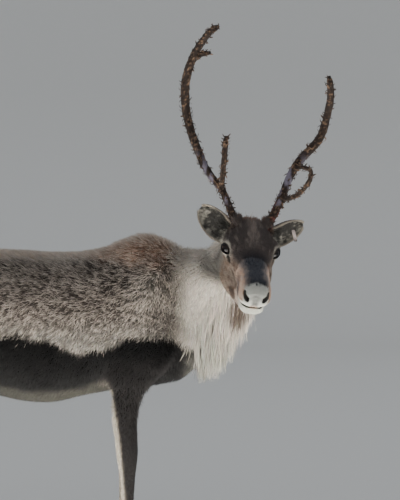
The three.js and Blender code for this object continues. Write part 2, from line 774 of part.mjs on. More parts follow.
for (const leg of LEGS) {
  const [x, y] = leg.rows.at(-1);
  const size = leg.fore ? 1 : 0.93;
  for (const [side, hand] of [["right", -1], ["left", 1]]) {
    const made = claw(vec(x + 16, y, 0), hand, size).subtract(clearance);
    addNode(`hoof_${leg.name}_${side}`, made, "hoof");
    const spur = dewclaw(vec(x, y, 0), hand).subtract(clearance);
    addNode(`dewclaw_${leg.name}_${side}`, spur, "hoof");
  }
}

// Tail, with short locks laid over its core
function tailForm() {
  const random = seeded(3);
  const locks = [];
  for (let row = 0; row < 3; row++) {
    const [x, y, z, depth, width] = rowAt(TAIL, 0.35 + 0.22 * row);
    for (let k = 0; k < 4; k++) {
      const angle = (2 * Math.PI * (k + row / 2)) / 4;
      const out = vec(Math.cos(angle), Math.sin(angle), 0);
      const root = vec(x + depth * out.x, y + width * out.y, z);
      const hang = vec(-0.05, 0, -1).addScaledVector(out, 0.12).normalize();
      const size = { length: 52 + 14 * random(), width: 20, thick: 7, sunk: 9 };
      locks.push(lock({ root, out, hang, ...size }));
    }
  }
  return limbForm(TAIL, { sides: 8, count: 9, grow: 0 }).add(joined(locks));
}
addNode("tail", tailForm().subtract(clearance), "pale");

// The part's origin is on the ground, midway along and across
const bounds = new THREE.Box3().setFromObject(reindeer);
const middle = bounds.getCenter(vec(0, 0, 0));
reindeer.position.set(-middle.x, -middle.y, -bounds.min.z);

export default reindeer;
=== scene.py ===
# %% [markdown]
# # A reindeer, dressed over its solid model
# The solid model gives the size and place of every part. Here the flesh gets one smooth skin and a
# coat of fine mesh tufts, and the eyes, antlers, hooves and ear tag get finished surfaces.
# Lengths in the tables are millimetres in the animal's own frame: x forward, y to its left, z up.

import bpy
import numpy as np
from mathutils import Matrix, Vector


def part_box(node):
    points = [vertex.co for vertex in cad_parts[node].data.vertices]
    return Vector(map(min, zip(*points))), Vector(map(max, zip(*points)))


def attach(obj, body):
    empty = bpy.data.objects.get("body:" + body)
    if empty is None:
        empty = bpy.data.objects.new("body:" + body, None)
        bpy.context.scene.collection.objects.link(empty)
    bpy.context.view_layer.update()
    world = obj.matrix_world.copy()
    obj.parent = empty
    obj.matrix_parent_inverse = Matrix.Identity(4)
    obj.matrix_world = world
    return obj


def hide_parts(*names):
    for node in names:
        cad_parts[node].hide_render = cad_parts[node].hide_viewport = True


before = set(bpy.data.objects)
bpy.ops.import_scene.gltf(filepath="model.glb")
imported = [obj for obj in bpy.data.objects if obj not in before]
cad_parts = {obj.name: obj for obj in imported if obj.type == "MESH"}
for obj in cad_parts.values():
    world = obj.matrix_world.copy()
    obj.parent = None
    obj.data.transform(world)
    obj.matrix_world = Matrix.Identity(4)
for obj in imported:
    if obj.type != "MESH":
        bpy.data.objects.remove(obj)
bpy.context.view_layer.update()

# %% [markdown]
# ## Sizes
# These are the same few sections that the solid model is lofted through. A row of the trunk, skull or
# jaw is x, top, bottom, half width and two squarenesses. A row of a limb is x, distance from the
# midline, z, half depth and half width. A row of the neck is x, y, z, half width, and its reach up to
# the crest and down to the throat.

# %% Tables of sections
TRUNK = [
    (222, 775, 685, 38, 2.0, 2.0),
    (208, 850, 618, 90, 2.0, 2.0),
    (170, 962, 564, 130, 2.0, 2.2),
    (115, 1014, 545, 156, 1.9, 2.3),
    (62, 1031, 538, 172, 1.8, 2.3),
    (0, 1018, 531, 186, 1.8, 2.3),
    (-65, 994, 522, 196, 1.9, 2.3),
    (-140, 979, 508, 204, 2.1, 2.3),
    (-230, 976, 489, 210, 2.2, 2.3),
    (-320, 981, 492, 209, 2.3, 2.3),
    (-410, 986, 512, 203, 2.3, 2.3),
    (-500, 992, 541, 195, 2.3, 2.3),
    (-590, 995, 575, 186, 2.2, 2.2),
    (-680, 985, 616, 173, 2.1, 2.2),
    (-765, 954, 662, 150, 2.1, 2.1),
    (-835, 900, 712, 108, 2.0, 2.0),
    (-868, 850, 762, 55, 2.0, 2.0),
]
NECK = [
    (60, 0, 790, 120, 200, 190),
    (150, 0, 820, 124, 198, 232),
    (245, -14, 862, 110, 137, 166),
    (318, -46, 912, 95, 94, 120),
    (360, -84, 966, 82, 82, 92),
    (386, -122, 1000, 68, 66, 76),
    (392, -152, 1000, 50, 50, 56),
]
SKULL = [
    (-150, 6, -60, 34, 2.0, 2.0),
    (-132, 32, -84, 62, 2.0, 2.0),
    (-100, 55, -96, 75, 2.1, 2.0),
    (-62, 63, -96, 80, 2.2, 2.0),
    (-20, 59, -90, 80, 2.3, 2.0),
    (20, 50, -82, 74, 2.3, 2.1),
    (60, 42, -74, 62, 2.3, 2.1),
    (100, 35, -66, 53, 2.3, 2.1),
    (145, 30, -57, 48, 2.4, 2.2),
    (185, 31, -52, 48, 2.6, 2.4),
    (215, 30, -52, 48, 2.7, 2.5),
    (235, 22, -50, 45, 2.6, 2.5),
    (248, 6, -40, 34, 2.4, 2.3),
    (252, -8, -26, 14, 2.0, 2.0),
]
JAW = [
    (-126, -58, -100, 44, 2.0, 2.0),
    (-104, -30, -126, 70, 2.0, 2.4),
    (-60, -20, -142, 82, 2.0, 2.8),
    (-10, -20, -144, 82, 2.0, 3.0),
    (45, -25, -138, 72, 2.0, 3.0),
    (100, -32, -124, 57, 2.0, 2.9),
    (150, -38, -109, 45, 2.0, 2.7),
    (190, -42, -99, 39, 2.0, 2.5),
    (216, -46, -91, 34, 2.0, 2.3),
    (230, -52, -80, 22, 2.0, 2.0),
]
FORE_LEG = [
    (66, 112, 780, 84, 52),
    (78, 122, 700, 92, 62),
    (58, 124, 635, 90, 60),
    (24, 119, 570, 74, 51),
    (8, 113, 505, 52, 41),
    (2, 106, 440, 42, 35),
    (5, 102, 392, 37.5, 33),
    (8, 99, 345, 36, 33),
    (9, 97, 305, 32, 28),
    (10, 95, 265, 26, 24),
    (10, 94, 215, 22.5, 20.5),
    (10, 93, 160, 21.5, 20.5),
    (10, 92, 118, 25, 24.5),
    (19, 92, 84, 22.5, 24),
    (29, 92, 52, 24, 28),
    (34, 92, 26, 22, 27),
]
HIND_LEG = [
    (-668, 92, 868, 118, 58),
    (-652, 112, 790, 136, 76),
    (-640, 120, 705, 128, 76),
    (-654, 121, 630, 104, 66),
    (-694, 117, 562, 74, 52),
    (-738, 112, 502, 52, 39),
    (-772, 107, 450, 43, 32),
    (-788, 104, 410, 41, 29.5),
    (-783, 101, 365, 33, 26.5),
    (-776, 99, 315, 26, 23),
    (-769, 97, 250, 23.5, 21),
    (-763, 95, 180, 23.5, 21),
    (-757, 93, 122, 27, 25),
    (-744, 93, 86, 24, 24.5),
    (-731, 93, 54, 25, 28),
    (-724, 93, 26, 22, 27),
]
TAIL = [
    (-826, 0, 900, 28, 22),
    (-856, 0, 880, 27, 20),
    (-878, 0, 842, 25, 18),
    (-887, 0, 797, 22, 16),
    (-888, 0, 752, 14, 11),
    (-886, 0, 728, 5, 4),
]
# How far up each section its widest level lies, as a share of the section's height
TRUNK_WAIST = 0.47
SKULL_WAIST = 0.4
JAW_WAIST = 0.5
# How far forward the far feet stand of the near ones
FAR_FORE_SHIFT = -22
FAR_HIND_SHIFT = 85
EYE_RADIUS = 19
EYE_OUT = 70
EYE_AT = np.array([0, EYE_OUT, 0])
LID = 3.4
# The head's own frame: its origin between the eyes, and its turns about x, y and z in degrees
HEAD_AT = np.array([392.0, -220.0, 976.0])
HEAD_TURNS = (-6.7, 31.8, -87.1)
print("sections:", len(TRUNK), "of the trunk,", len(NECK), "of the neck,", len(SKULL), "of the skull")

# %% [markdown]
# ## Small tools
# Tables are read along smooth curves, so few rows are enough. Noise comes from whole numbers mixed by
# the formula below, so each run gives the same coat.


# %% Rows, turns and noise
def smooth_rows(rows, count=240):
    """Each column of a table, read along a Catmull-Rom curve at even steps."""
    rows = np.array(rows, float)
    t = np.linspace(0, len(rows) - 1, count)
    i = np.minimum(t.astype(int), len(rows) - 2)
    u = (t - i)[:, None]
    a, b, d, e = (rows[np.clip(i + k, 0, len(rows) - 1)] for k in (-1, 0, 1, 2))
    return 0.5 * (2 * b + (d - a) * u + (2 * a - 5 * b + 4 * d - e) * u**2 + (3 * b - a - 3 * d + e) * u**3)


def turning(x, y, z):
    """The three matrices that turn about x, y and z, in degrees."""
    (cx, sx), (cy, sy), (cz, sz) = ((np.cos(a), np.sin(a)) for a in np.radians((x, y, z)))
    about_x = np.array([[1, 0, 0], [0, cx, -sx], [0, sx, cx]])
    about_y = np.array([[cy, 0, sy], [0, 1, 0], [-sy, 0, cy]])
    about_z = np.array([[cz, -sz, 0], [sz, cz, 0], [0, 0, 1]])
    return about_x, about_y, about_z


def unit(vectors):
    """Each vector divided by its length."""
    return vectors / np.maximum(np.linalg.norm(vectors, axis=-1, keepdims=True), 1e-9)


def ramp(value, low, high):
    """0 below low and 1 above high, with a smooth S between them. High may be the smaller."""
    t = np.clip((value - low) / (high - low), 0, 1)
    return t * t * (3 - 2 * t)


def noise(points, size, seed=0):
    """Random numbers from -1 to 1 on a lattice of that size, smoothly mixed between its corners."""
    p = points / size + 17.3 * seed
    cell = np.floor(p).astype(np.int64)
    f = p - cell
    f = f * f * (3 - 2 * f)
    total = 0
    for dx in (0, 1):
        for dy in (0, 1):
            for dz in (0, 1):
                c = cell + (dx, dy, dz)
                h = (c[:, 0] * 73856093) ^ (c[:, 1] * 19349663) ^ (c[:, 2] * 83492791) ^ (seed * 2654435)
                h = (h ^ (h >> 13)) * 1274126177 & 0x7FFFFFFF
                share = np.abs(1 - dx - f[:, 0]) * np.abs(1 - dy - f[:, 1]) * np.abs(1 - dz - f[:, 2])
                total = total + share * ((h ^ (h >> 16)) % 65536 / 32768 - 1)
    return total


TURN_X, TURN_Y, TURN_Z = turning(*HEAD_TURNS)
HEAD_AXES = TURN_Z @ TURN_Y @ TURN_X


def to_head(points):
    """Points of the animal's frame, told in the head's own frame."""
    return (points - HEAD_AT) @ HEAD_AXES


def from_head(points):
    """Points of the head's own frame, told in the animal's frame."""
    return points @ HEAD_AXES.T + HEAD_AT


def mirrored(points):
    """Points with their right half folded onto the left."""
    return np.stack([points[:, 0], np.abs(points[:, 1]), points[:, 2]], axis=1)


# The animal's own frame starts under its near fore foot, and the right eye shows where that is.
eye_box = np.array(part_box("eye_right")) * 1000
SHIFT = eye_box.mean(axis=0) - from_head(np.array([[0, -EYE_OUT, 0]]))[0]
print("own frame starts at, mm:", SHIFT.round(1))

# %% [markdown]
# ## Simple forms as fields
# A skin this soft is easiest to describe as a field: a number for every point in space that is
# negative inside the flesh and positive outside. Fields of simple forms melt into each other where
# they meet, as muscle does under hide, and joined solids would show a crease there.


# %% Fields of simple forms
def oval_field(across, rise, width, above, below, square_up=2.0, square_down=2.0):
    """Distance from an oval, measured along the ray from its centre, negative inside it."""
    reach = np.where(rise > 0, above, below)
    power = np.where(rise > 0, square_up, square_down)
    radius = ((np.abs(across) / width) ** power + (np.abs(rise) / reach) ** power) ** (1 / power)
    return np.hypot(across, rise) * (1 - 1 / np.maximum(radius, 1e-4))


def long_field(points, rows, waist):
    """A form along x, whose oval section is read at each point's own x."""
    table = smooth_rows(rows)
    table = table if table[0, 0] < table[-1, 0] else table[::-1]
    at = np.clip(points[:, 0], table[0, 0], table[-1, 0])
    top, bottom, width, up, down = (np.interp(at, table[:, 0], table[:, k]) for k in range(1, 6))
    level = bottom + waist * (top - bottom)
    field = oval_field(points[:, 1], points[:, 2] - level, width, top - level, level - bottom, up, down)
    beyond = np.abs(points[:, 0] - at)
    return np.where(beyond > 0, np.hypot(np.maximum(field, 0), beyond), field)


def limb_field(points, rows):
    """A form along a path that runs down, whose oval section is read at each point's own height."""
    table = smooth_rows(rows)[::-1]
    z = table[:, 2]
    lean = 1 / np.hypot(1, np.gradient(table[:, 0], z))
    at = np.clip(points[:, 2], z[0], z[-1])
    x, y, depth, width = (np.interp(at, z, table[:, k]) for k in (0, 1, 3, 4))
    slant = np.interp(at, z, lean)
    field = slant * oval_field(points[:, 1] - y, points[:, 0] - x, width, depth / slant, depth / slant)
    beyond = np.abs(points[:, 2] - at)
    return np.where(beyond > 0, np.hypot(np.maximum(field, 0), beyond), field)


def neck_stations():
    """Centres, side and up vectors and reaches along the neck's path."""
    table = smooth_rows(NECK, 80)
    heading = unit(np.gradient(table[:, :3], axis=0))
    side = unit(np.stack([-heading[:, 1], heading[:, 0], 0 * heading[:, 0]], axis=1))
    return np.hstack([table[:, :3], side, np.cross(heading, side), heading, table[:, 3:]])


def neck_row(stations, index):
    """The neck's row at any place between its stations."""
    steps = np.arange(len(stations))
    return np.stack([np.interp(index, steps, column) for column in stations.T], axis=1)


def along_neck(points):
    """For each point, the nearest place on the neck's path: its row, how far the point lies beyond
    the path's ends, and how far along it is, from 0 to 1."""
    stations = neck_stations()
    nearest = np.zeros(len(points), int)
    best = np.full(len(points), np.inf)
    for i, row in enumerate(stations):
        away = ((points - row[:3]) ** 2).sum(axis=1)
        nearest = np.where(away < best, i, nearest)
        best = np.minimum(best, away)
    row = stations[nearest]
    step = np.linalg.norm(np.gradient(stations[:, :3], axis=0), axis=1)[nearest]
    travel = nearest + ((points - row[:, :3]) * row[:, 9:12]).sum(axis=1) / step
    last = len(stations) - 1
    clipped = np.clip(travel, 0, last)
    return neck_row(stations, clipped), (travel - clipped) * step, clipped / last


def neck_field(points):
    """A form along the neck's bent path."""
    row, beyond, _ = along_neck(points)
    from_path = points - row[:, :3]
    across = (from_path * row[:, 3:6]).sum(axis=1)
    rise = (from_path * row[:, 6:9]).sum(axis=1)
    field = oval_field(across, rise, row[:, 12], row[:, 13], row[:, 14])
    return np.where(np.abs(beyond) > 0, np.hypot(np.maximum(field, 0), beyond), field)


def ball_field(points, at, radii, turn=(0, 0, 0)):
    """An ellipsoid, by the length of its scaled vector over that of its gradient."""
    about_x, about_y, about_z = turning(*turn)
    local = (points - np.array(at, float)) @ (about_x @ about_y @ about_z)
    near = np.linalg.norm(local / radii, axis=1)
    slope = np.linalg.norm(local / np.square(np.array(radii, float)), axis=1)
    return near * (near - 1) / np.maximum(slope, 1e-6)


def melt(a, b, width):
    """The union of two fields, blended over that width where they meet."""
    share = np.maximum(width - np.abs(a - b), 0) / width
    return np.minimum(a, b) - share * share * width / 4


def carve(a, b, width):
    """Field a with b taken out of it, its edge rounded over that width."""
    return -melt(-a, b, width)


# %% [markdown]
# ## The head
# The head is described in its own frame, with x towards the nose. Lids are a shell over each
# eyeball with an almond opening, the nostrils and mouth are carved, and low ridges run round each
# of them, because the eye reads a face by these folds.

# %% The head's field
MOUTH_CORNER = 128
EYE_LOOK = unit(np.array([0.79, 0.6, 0.14]))
# Each swelling's place, radii and turn, and the width over which it melts in
SWELLINGS = {
    "brow": ((-6, 58, 10), (36, 26, 25), (0, 0, -8), 14),
    "jaw muscle": ((-58, 50, -70), (40, 18, 38), (0, 0, 0), 20),
    "upper lip": ((196, 30, -32), (38, 19, 20), (0, 0, 0), 12),
    "antler seat": ((-78, 46, 50), (24, 19, 20), (0, 0, 0), 14),
}


def mouth_level(x):
    """Height of the mouth's line, which climbs a little towards the corner."""
    return -54 + (205 - x) * 0.035


def nostril_field(p):
    """A comma: a deep round hollow with a thin tail up and back."""
    hollow = ball_field(p, (245, 25, -16), (15, 5.6, 10), (-26, 0, 26))
    tail = ball_field(p, (242, 33, -4), (11, 3.2, 10), (-24, 0, 32))
    return melt(hollow, tail, 6)


def lid_opening(p):
    """The almond between the lids, centred where the eye looks."""
    at = EYE_AT + (EYE_RADIUS + 2) * EYE_LOOK
    return ball_field(p, at, (18.5, 14.5, 13.6), (8, 14, -46))


def carve_lids(field, p, to_eye):
    """An almond opening with a rim, a crease and a fold over it, and the slit of the tear gland."""
    lid = to_eye - EYE_RADIUS - LID
    opening = lid_opening(p)
    fold = np.hypot(opening - 8.5, lid - 1) - 1.6
    field = melt(field, fold + 4 * (1 - ramp(p[:, 2], -4, 6)), 3)
    field = carve(field, np.hypot(opening - 5.2, lid - 1.4) - 1.1, 2)
    field = melt(field, np.hypot(opening, lid + 0.6) - 2.3, 2)
    field = carve(field, opening, 1.2)
    return carve(field, ball_field(p, (34, 66, -17), (13, 5, 4.2), (0, 30, -24)), 4)


def carve_mouth(field, p):
    """Two rolled lips with a gap between them, from the front to the corner."""
    behind = 6 * (1 - ramp(p[:, 0], MOUTH_CORNER - 4, MOUTH_CORNER + 10))
    above = np.abs(p[:, 2] - mouth_level(p[:, 0]))
    lips = np.hypot(np.maximum(above - 4.5, 0), field) - 2.2
    gap = np.maximum(above - 2.0, -field - 11)
    return carve(melt(field, lips + behind, 5), gap + behind, 2.4)


def carve_nose(field, p, smooth):
    """Nostrils with a raised wing, and the groove that parts the upper lip. Smooth is the field
    before the mouth was cut."""
    nostril = nostril_field(p)
    field = melt(field, np.hypot(nostril - 1.0, smooth) - 3.2, 5)
    field = carve(field, nostril, 2.2)
    groove = np.hypot(p[:, 1], np.maximum(np.abs(smooth) - 1, 0)) - 1.6
    lip_front = ramp(p[:, 0], 236, 244) * ramp(p[:, 2], -8, -20)
    return carve(field, groove + 5 * (1 - lip_front), 3)


def head_field(local, fine=True):
    """The whole head: its right and left halves mirror each other."""
    p = mirrored(local)
    field = melt(long_field(p, SKULL, SKULL_WAIST), long_field(p, JAW, JAW_WAIST), 16)
    for at, radii, turn, width in SWELLINGS.values():
        field = melt(field, ball_field(p, at, radii, turn), width)
    to_eye = np.linalg.norm(p - EYE_AT, axis=1)
    field = melt(field, to_eye - EYE_RADIUS - LID, 7)
    if not fine:
        return field
    cheek_line = ball_field(p, (95, 47, -44), (70, 3.5, 5), (0, 6, -8))
    smooth = carve(carve_lids(field, p, to_eye), cheek_line + 1.5, 9)
    return carve_nose(carve_mouth(smooth, p), p, smooth)


print("eyes look along", EYE_LOOK.round(2), "in the head's frame")

# %% [markdown]
# ## The body
# Trunk, neck, legs and tail melt together. The skin lies under the coat's depth, which is deep on
# the back and flanks and next to nothing below the knee.


# %% The body's field
def leg_rows(rows, hand, shift):
    """A leg's rows with its foot moved along, less and less towards the hip."""
    hip = rows[0][2]
    return [(x + shift * (hip - z) / hip, hand * y, z, *rest) for x, y, z, *rest in rows]


LEGS = {
    "fore_right": leg_rows(FORE_LEG, -1, 0),
    "fore_left": leg_rows(FORE_LEG, 1, FAR_FORE_SHIFT),
    "hind_right": leg_rows(HIND_LEG, -1, 0),
    "hind_left": leg_rows(HIND_LEG, 1, FAR_HIND_SHIFT),
}


def nearest_leg(points):
    """The smallest of the four legs' fields."""
    return np.min([limb_field(points, rows) for rows in LEGS.values()], axis=0)


def body_field(points):
    """Trunk, neck, shoulders, legs and tail, melted together."""
    field = melt(long_field(points, TRUNK, TRUNK_WAIST), neck_field(points), 60)
    for hand in (-1, 1):
        blade = ball_field(points, (50, hand * 104, 815), (150, 72, 78), (0, -62, 0))
        hip = ball_field(points, (-560, hand * 118, 905), (95, 62, 60), (0, 12, 0))
        elbow = ball_field(points, (-18, hand * 118, 592), (44, 40, 44))
        field = melt(field, blade, 40)
        field = melt(field, hip, 45)
        field = melt(field, elbow, 30)
        flank = ball_field(points, (-505, hand * 232, 690), (70, 34, 120), (0, 18, 0))
        field = carve(field, flank, 45)
    for name, rows in LEGS.items():
        field = melt(field, limb_field(points, rows), 46 if "hind" in name else 36)
    for hand, shift in ((-1, 0), (1, FAR_HIND_SHIFT)):
        heel = (-813 + shift * 430 / 868, hand * 104, 440)
        tendon = (-806 + shift * 350 / 868, hand * 103, 505)
        field = melt(field, ball_field(points, heel, (22, 18, 40), (0, -14, 0)), 14)
        field = melt(field, ball_field(points, tendon, (12, 12, 62), (0, -16, 0)), 22)
    return melt(field, limb_field(points, TAIL), 26)


def coat_depth(points):
    """How far the skin lies under the hair's tips."""
    low = ramp(points[:, 2], 380, 650)
    leg = 3 + 9 * ramp(points[:, 2], 380, 560)
    return leg + (22 - leg) * low


def skin_field(points):
    """The body's skin, sunk by the coat, and the head's skin, melted at the nape and throat."""
    local = to_head(points)
    head = head_field(local, fine=False) + 4 + 6 * ramp(local[:, 0], -60, -140)
    return melt(body_field(points) + coat_depth(points), head, 26)


# %% [markdown]
# ## From field to mesh
# Surface nets put one vertex in every cell of a grid that the surface crosses, at the mean of the
# crossings on its edges, and one quad round every crossed edge. The quads are even, with no seam
# and no pole, which is kinder to soft forms than joined tubes would be.


# %% Surface nets
def values_on(field, grid, step):
    """The field on a grid. Every fourth point tells where the surface can be, and only there is the
    field worked out in full."""
    wide = grid[::4, ::4, ::4]
    values = field(wide.reshape(-1, 3)).reshape(wide.shape[:3])
    for axis in range(3):
        values = np.repeat(values, 4, axis=axis).take(np.arange(grid.shape[axis]), axis=axis)
    near = np.abs(values) < 10 * step
    values[near] = field(grid[near])
    return values


def crossed_edges(values, axis):
    """The four cells round each edge along one axis that the surface crosses, and where it does."""
    start = [slice(None)] * 3
    end = [slice(None)] * 3
    start[axis], end[axis] = slice(0, -1), slice(1, None)
    a, b = values[tuple(start)], values[tuple(end)]
    cross = np.stack(np.nonzero((a < 0) != (b < 0)), axis=1)
    va, vb = a[tuple(cross.T)], b[tuple(cross.T)]
    point = cross.astype(float)
    point[:, axis] += va / (va - vb)
    p, q = [k for k in range(3) if k != axis]
    corners = []
    for back_p, back_q in ((1, 1), (0, 1), (0, 0), (1, 0)):
        cell = cross.copy()
        cell[:, p] -= back_p
        cell[:, q] -= back_q
        corners.append(np.ravel_multi_index(cell.T, values.shape))
    quads = np.stack(corners, axis=1)
    flip = (va >= 0) ^ (axis == 1)
    quads[flip] = quads[flip][:, ::-1]
    return quads, point


def surface_nets(field, low, high, step):
    """Vertices and quads where a field changes sign on a grid between two corners."""
    axes = [np.arange(a, b + step, step) for a, b in zip(low, high)]
    grid = np.stack(np.meshgrid(*axes, indexing="ij"), axis=-1)
    values = values_on(field, grid, step)
    edges = [crossed_edges(values, axis) for axis in range(3)]
    cells = np.concatenate([quads.ravel() for quads, _ in edges])
    points = np.concatenate([np.repeat(point, 4, axis=0) for _, point in edges])
    _, index = np.unique(cells, return_inverse=True)
    count = np.bincount(index)
    verts = np.stack([np.bincount(index, points[:, k]) / count for k in range(3)], axis=1)
    return verts * step + np.array(low, float), index.reshape(-1, 4)


def vertex_normals(verts, faces):
    """The mean of the cross products of the faces round each vertex."""
    a, b, c, d = (verts[faces[:, k]] for k in (0, 1, 2, -1))
    cross = np.cross(c - a, d - b) if faces.shape[1] == 4 else np.cross(b - a, c - a)
    total = np.zeros_like(verts)
    for k in range(3):
        for corner in range(faces.shape[1]):
            total[:, k] += np.bincount(faces[:, corner], cross[:, k], len(verts))
    return unit(total)


# %% [markdown]
# ## Meshes and materials
# Blender takes a mesh fastest as flat arrays. Every piece lies at the origin, rides the one body and
# hides the solids it stands for. Hair, hide and horn carry their colour on the mesh itself, so one
# material serves them all with other numbers.


# %% Meshes and materials
def make_mesh(name, verts, faces, colors=None, uv=None):
    """An object at the origin from millimetre vertices in the animal's frame."""
    mesh = bpy.data.meshes.new(name)
    mesh.vertices.add(len(verts))
    mesh.vertices.foreach_set("co", ((verts + SHIFT) * 0.001).astype(np.float32).ravel())
    sides = faces.shape[1]
    mesh.loops.add(faces.size)
    mesh.loops.foreach_set("vertex_index", faces.astype(np.int32).ravel())
    mesh.polygons.add(len(faces))
    mesh.polygons.foreach_set("loop_start", np.arange(0, faces.size, sides, dtype=np.int32))
    mesh.polygons.foreach_set("use_smooth", np.ones(len(faces), bool))
    if colors is not None:
        layer = mesh.color_attributes.new("Hair", "FLOAT_COLOR", "POINT")
        rgba = np.ones((len(verts), 4), np.float32)
        rgba[:, :3] = colors
        layer.data.foreach_set("color", rgba.ravel())
    if uv is not None:
        layer = mesh.uv_layers.new(name="OFBake")
        layer.data.foreach_set("uv", uv[faces.ravel()].astype(np.float32).ravel())
    mesh.update(calc_edges=True)
    mesh.validate()
    obj = bpy.data.objects.new(name, mesh)
    bpy.context.collection.objects.link(obj)
    return obj


def place(obj, material, slot, *nodes):
    """The piece rides the one body, takes its material and stands for those nodes."""
    obj.data.materials.append(material)
    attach(obj, "root")
    if nodes:
        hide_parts(*nodes)
    return obj


def shade(r, g, b):
    """A colour seen on the animal, 0 to 255, as the linear light that a shader needs."""
    c = np.array([r, g, b]) / 255
    return np.where(c <= 0.04045, c / 12.92, ((c + 0.055) / 1.055) ** 2.4)


def painted(name, roughness, sheen, bump_size=None, bump=0.0):
    """A material that takes its colour from the mesh's own attribute."""
    material = bpy.data.materials.new(name)
    material.use_nodes = True
    nodes, links = material.node_tree.nodes, material.node_tree.links
    shader = nodes["Principled BSDF"]
    shader.inputs["Roughness"].default_value = roughness
    shader.inputs["Sheen Weight"].default_value = sheen
    shader.inputs["Specular IOR Level"].default_value = 0.15
    hue = nodes.new("ShaderNodeAttribute")
    hue.attribute_name = "Hair"
    links.new(hue.outputs["Color"], shader.inputs["Base Color"])
    if bump_size:
        object_place = nodes.new("ShaderNodeTexCoord")
        grain = nodes.new("ShaderNodeTexNoise")
        grain.inputs["Scale"].default_value = bump_size
        grain.inputs["Detail"].default_value = 3
        raised = nodes.new("ShaderNodeBump")
        raised.inputs["Strength"].default_value = bump
        raised.inputs["Distance"].default_value = 0.002
        links.new(object_place.outputs["Object"], grain.inputs["Vector"])
        links.new(grain.outputs["Fac"], raised.inputs["Height"])
        links.new(raised.outputs["Normal"], shader.inputs["Normal"])
    return material


# %% [markdown]
# ## Markings
# Skin and hair ask the same functions for their colour, so the markings agree to the root. Each
# function lays soft patches over a ground colour, with edges made ragged by noise.

# %% Colours of the coat
BACK_RUST = shade(224, 176, 146)
BACK_TIP = shade(236, 222, 206)
# painted light: the lighter cream laid on the neck's top and in the crease by the head
NECK_TOP_LIT = shade(238, 226, 212)
CHARCOAL = shade(34, 31, 30)
FLANK = shade(132, 120, 111)
FLANK_PALE = shade(190, 182, 170)
STRIPE = shade(12, 10, 9)
BELLY = shade(60, 58, 51)
CREAM = shade(176, 172, 160)
LEG_DARK = shade(27, 24, 23)
LEG_PALE = shade(178, 168, 152)
RUMP_WHITE = shade(205, 202, 192)
BEARD = shade(84, 68, 56)
BREAST = shade(84, 80, 74)


# Height of the dark side stripe's upper and lower edges, as pairs of x and z
STRIPE_TOP = [
    (-900, 590), (-560, 640), (-403, 722), (-320, 722), (-230, 702), (-147, 672),
    (-60, 676), (0, 704), (50, 716), (112, 708), (150, 712), (190, 700),
]
STRIPE_LOW = [(-900, 520), (-560, 574), (-403, 574), (-275, 546), (-147, 556), (-60, 584), (60, 520)]
# Where the pale neck starts, and where the painted rim light on the fore leg ends, as pairs of z and x
NECK_START = [(560, 240), (690, 232), (760, 196), (900, 160), (960, 148)]
LEG_RIM_LIGHT = [(0, -3), (200, -6), (345, -18), (500, -33), (640, -56)]


def read(at, pairs):
    """The second number of the pairs, read where the first is at."""
    return np.interp(at, *zip(*pairs))


def lay(colors, new, share):
    """Paints a colour over others, by a share from 0 to 1 at each point."""
    return colors + (new - colors) * np.clip(share, 0, 1)[:, None]


def trunk_colors(p, big, ragged):
    """Grey brown flank, pale below and on the shoulder, dark above, with a rusty back."""
    x, _, z = p.T
    zr, xr = z + ragged, x + ragged * 1.6
    c = np.tile(FLANK, (len(p), 1))
    c = lay(c, FLANK_PALE, ramp(zr + 26 * big, 800, 690) * ramp(xr, -640, -520) * 0.95)
    c = lay(c, CHARCOAL, ramp(zr, 800, 905) * (0.34 + 0.3 * big) * ramp(xr, 150, 60))
    shoulder = ball_field(p * (1, 0, 1), (84, 0, 838), (105, 105, 105))
    c = lay(c, FLANK_PALE, ramp(shoulder + 2 * ragged, 10, -80) * 0.6)
    c = lay(c, CHARCOAL, ramp(zr, 780, 880) * ramp(xr, -210, -330) * 0.46)
    c = lay(c, BACK_RUST, ramp(zr, 905 + 25 * ramp(x, 60, -100), 965) * 0.85)
    return lay(c, CHARCOAL, ramp(xr, -520, -640) * ramp(zr, 560, 700) * 0.62)


def stripe_colors(c, p, ragged):
    """The near-black stripe along the side, and the pale belly under it."""
    x, _, z = p.T
    top, low = read(x, STRIPE_TOP), read(x, STRIPE_LOW)
    c = lay(c, STRIPE, ramp(z + ragged, top + 9, top - 9) * ramp(x + ragged * 1.6, 262, 240))
    return lay(c, BELLY, ramp(z + ragged * 0.4, low + 8, low - 8) * ramp(x, 20, -40))


def neck_colors(c, p, big, ragged):
    """Cream neck with a rusty crest and a dark breast, and painted light that makes it lightest along
    its top and in the shaded crease by the head.
    """
    x, _, z = p.T
    zr, xr = z + ragged, x + ragged * 1.6
    cream = ramp(xr + 30 * big - read(z, NECK_START), -42, 42)
    c = lay(c, CREAM, cream)
    # painted light: a lighter cream along the neck's top and in the shaded crease by the head
    crease_lift = ramp(to_head(p)[:, 0], -200, -150)
    c = lay(c, NECK_TOP_LIT, cream * np.maximum(ramp(z, 890, 955), 0.75 * crease_lift * ramp(z, 720, 880)))
    c = lay(c, BACK_RUST, cream * ramp(zr, 955, 1010) * ramp(x, 205, 150) * 0.6)
    return lay(c, BREAST, ramp(np.abs(xr - 262), 40, 10) * ramp(zr, 690, 640) * 0.7)


def leg_colors(c, p, ragged):
    """Dark legs with a pale line of painted rim light down the fore leg's rear, and paler feet."""
    x, y, z = p.T
    zr = z + ragged
    leg = ramp(nearest_leg(p), 22, 4)
    fore = ramp(x, -180, -140)
    dark = ramp(zr, 660, 630) * fore + ramp(zr, 700, 560) * (1 - fore)
    c = lay(c, LEG_DARK, leg * dark)
    rear = read(z, LEG_RIM_LIGHT) + np.where(y > 0, FAR_FORE_SHIFT * 0.5, 0)
    # painted light: a pale line of rim light down the rear edge of each fore leg
    pale = ramp(x, rear + 14, rear + 2) * fore * ramp(zr, 590, 520) * ramp(z, 60, 130)
    c = lay(c, LEG_PALE, leg * pale * 0.85)
    return lay(c, LEG_PALE, ramp(z + ragged * 0.3, 92, 70) * 0.55)


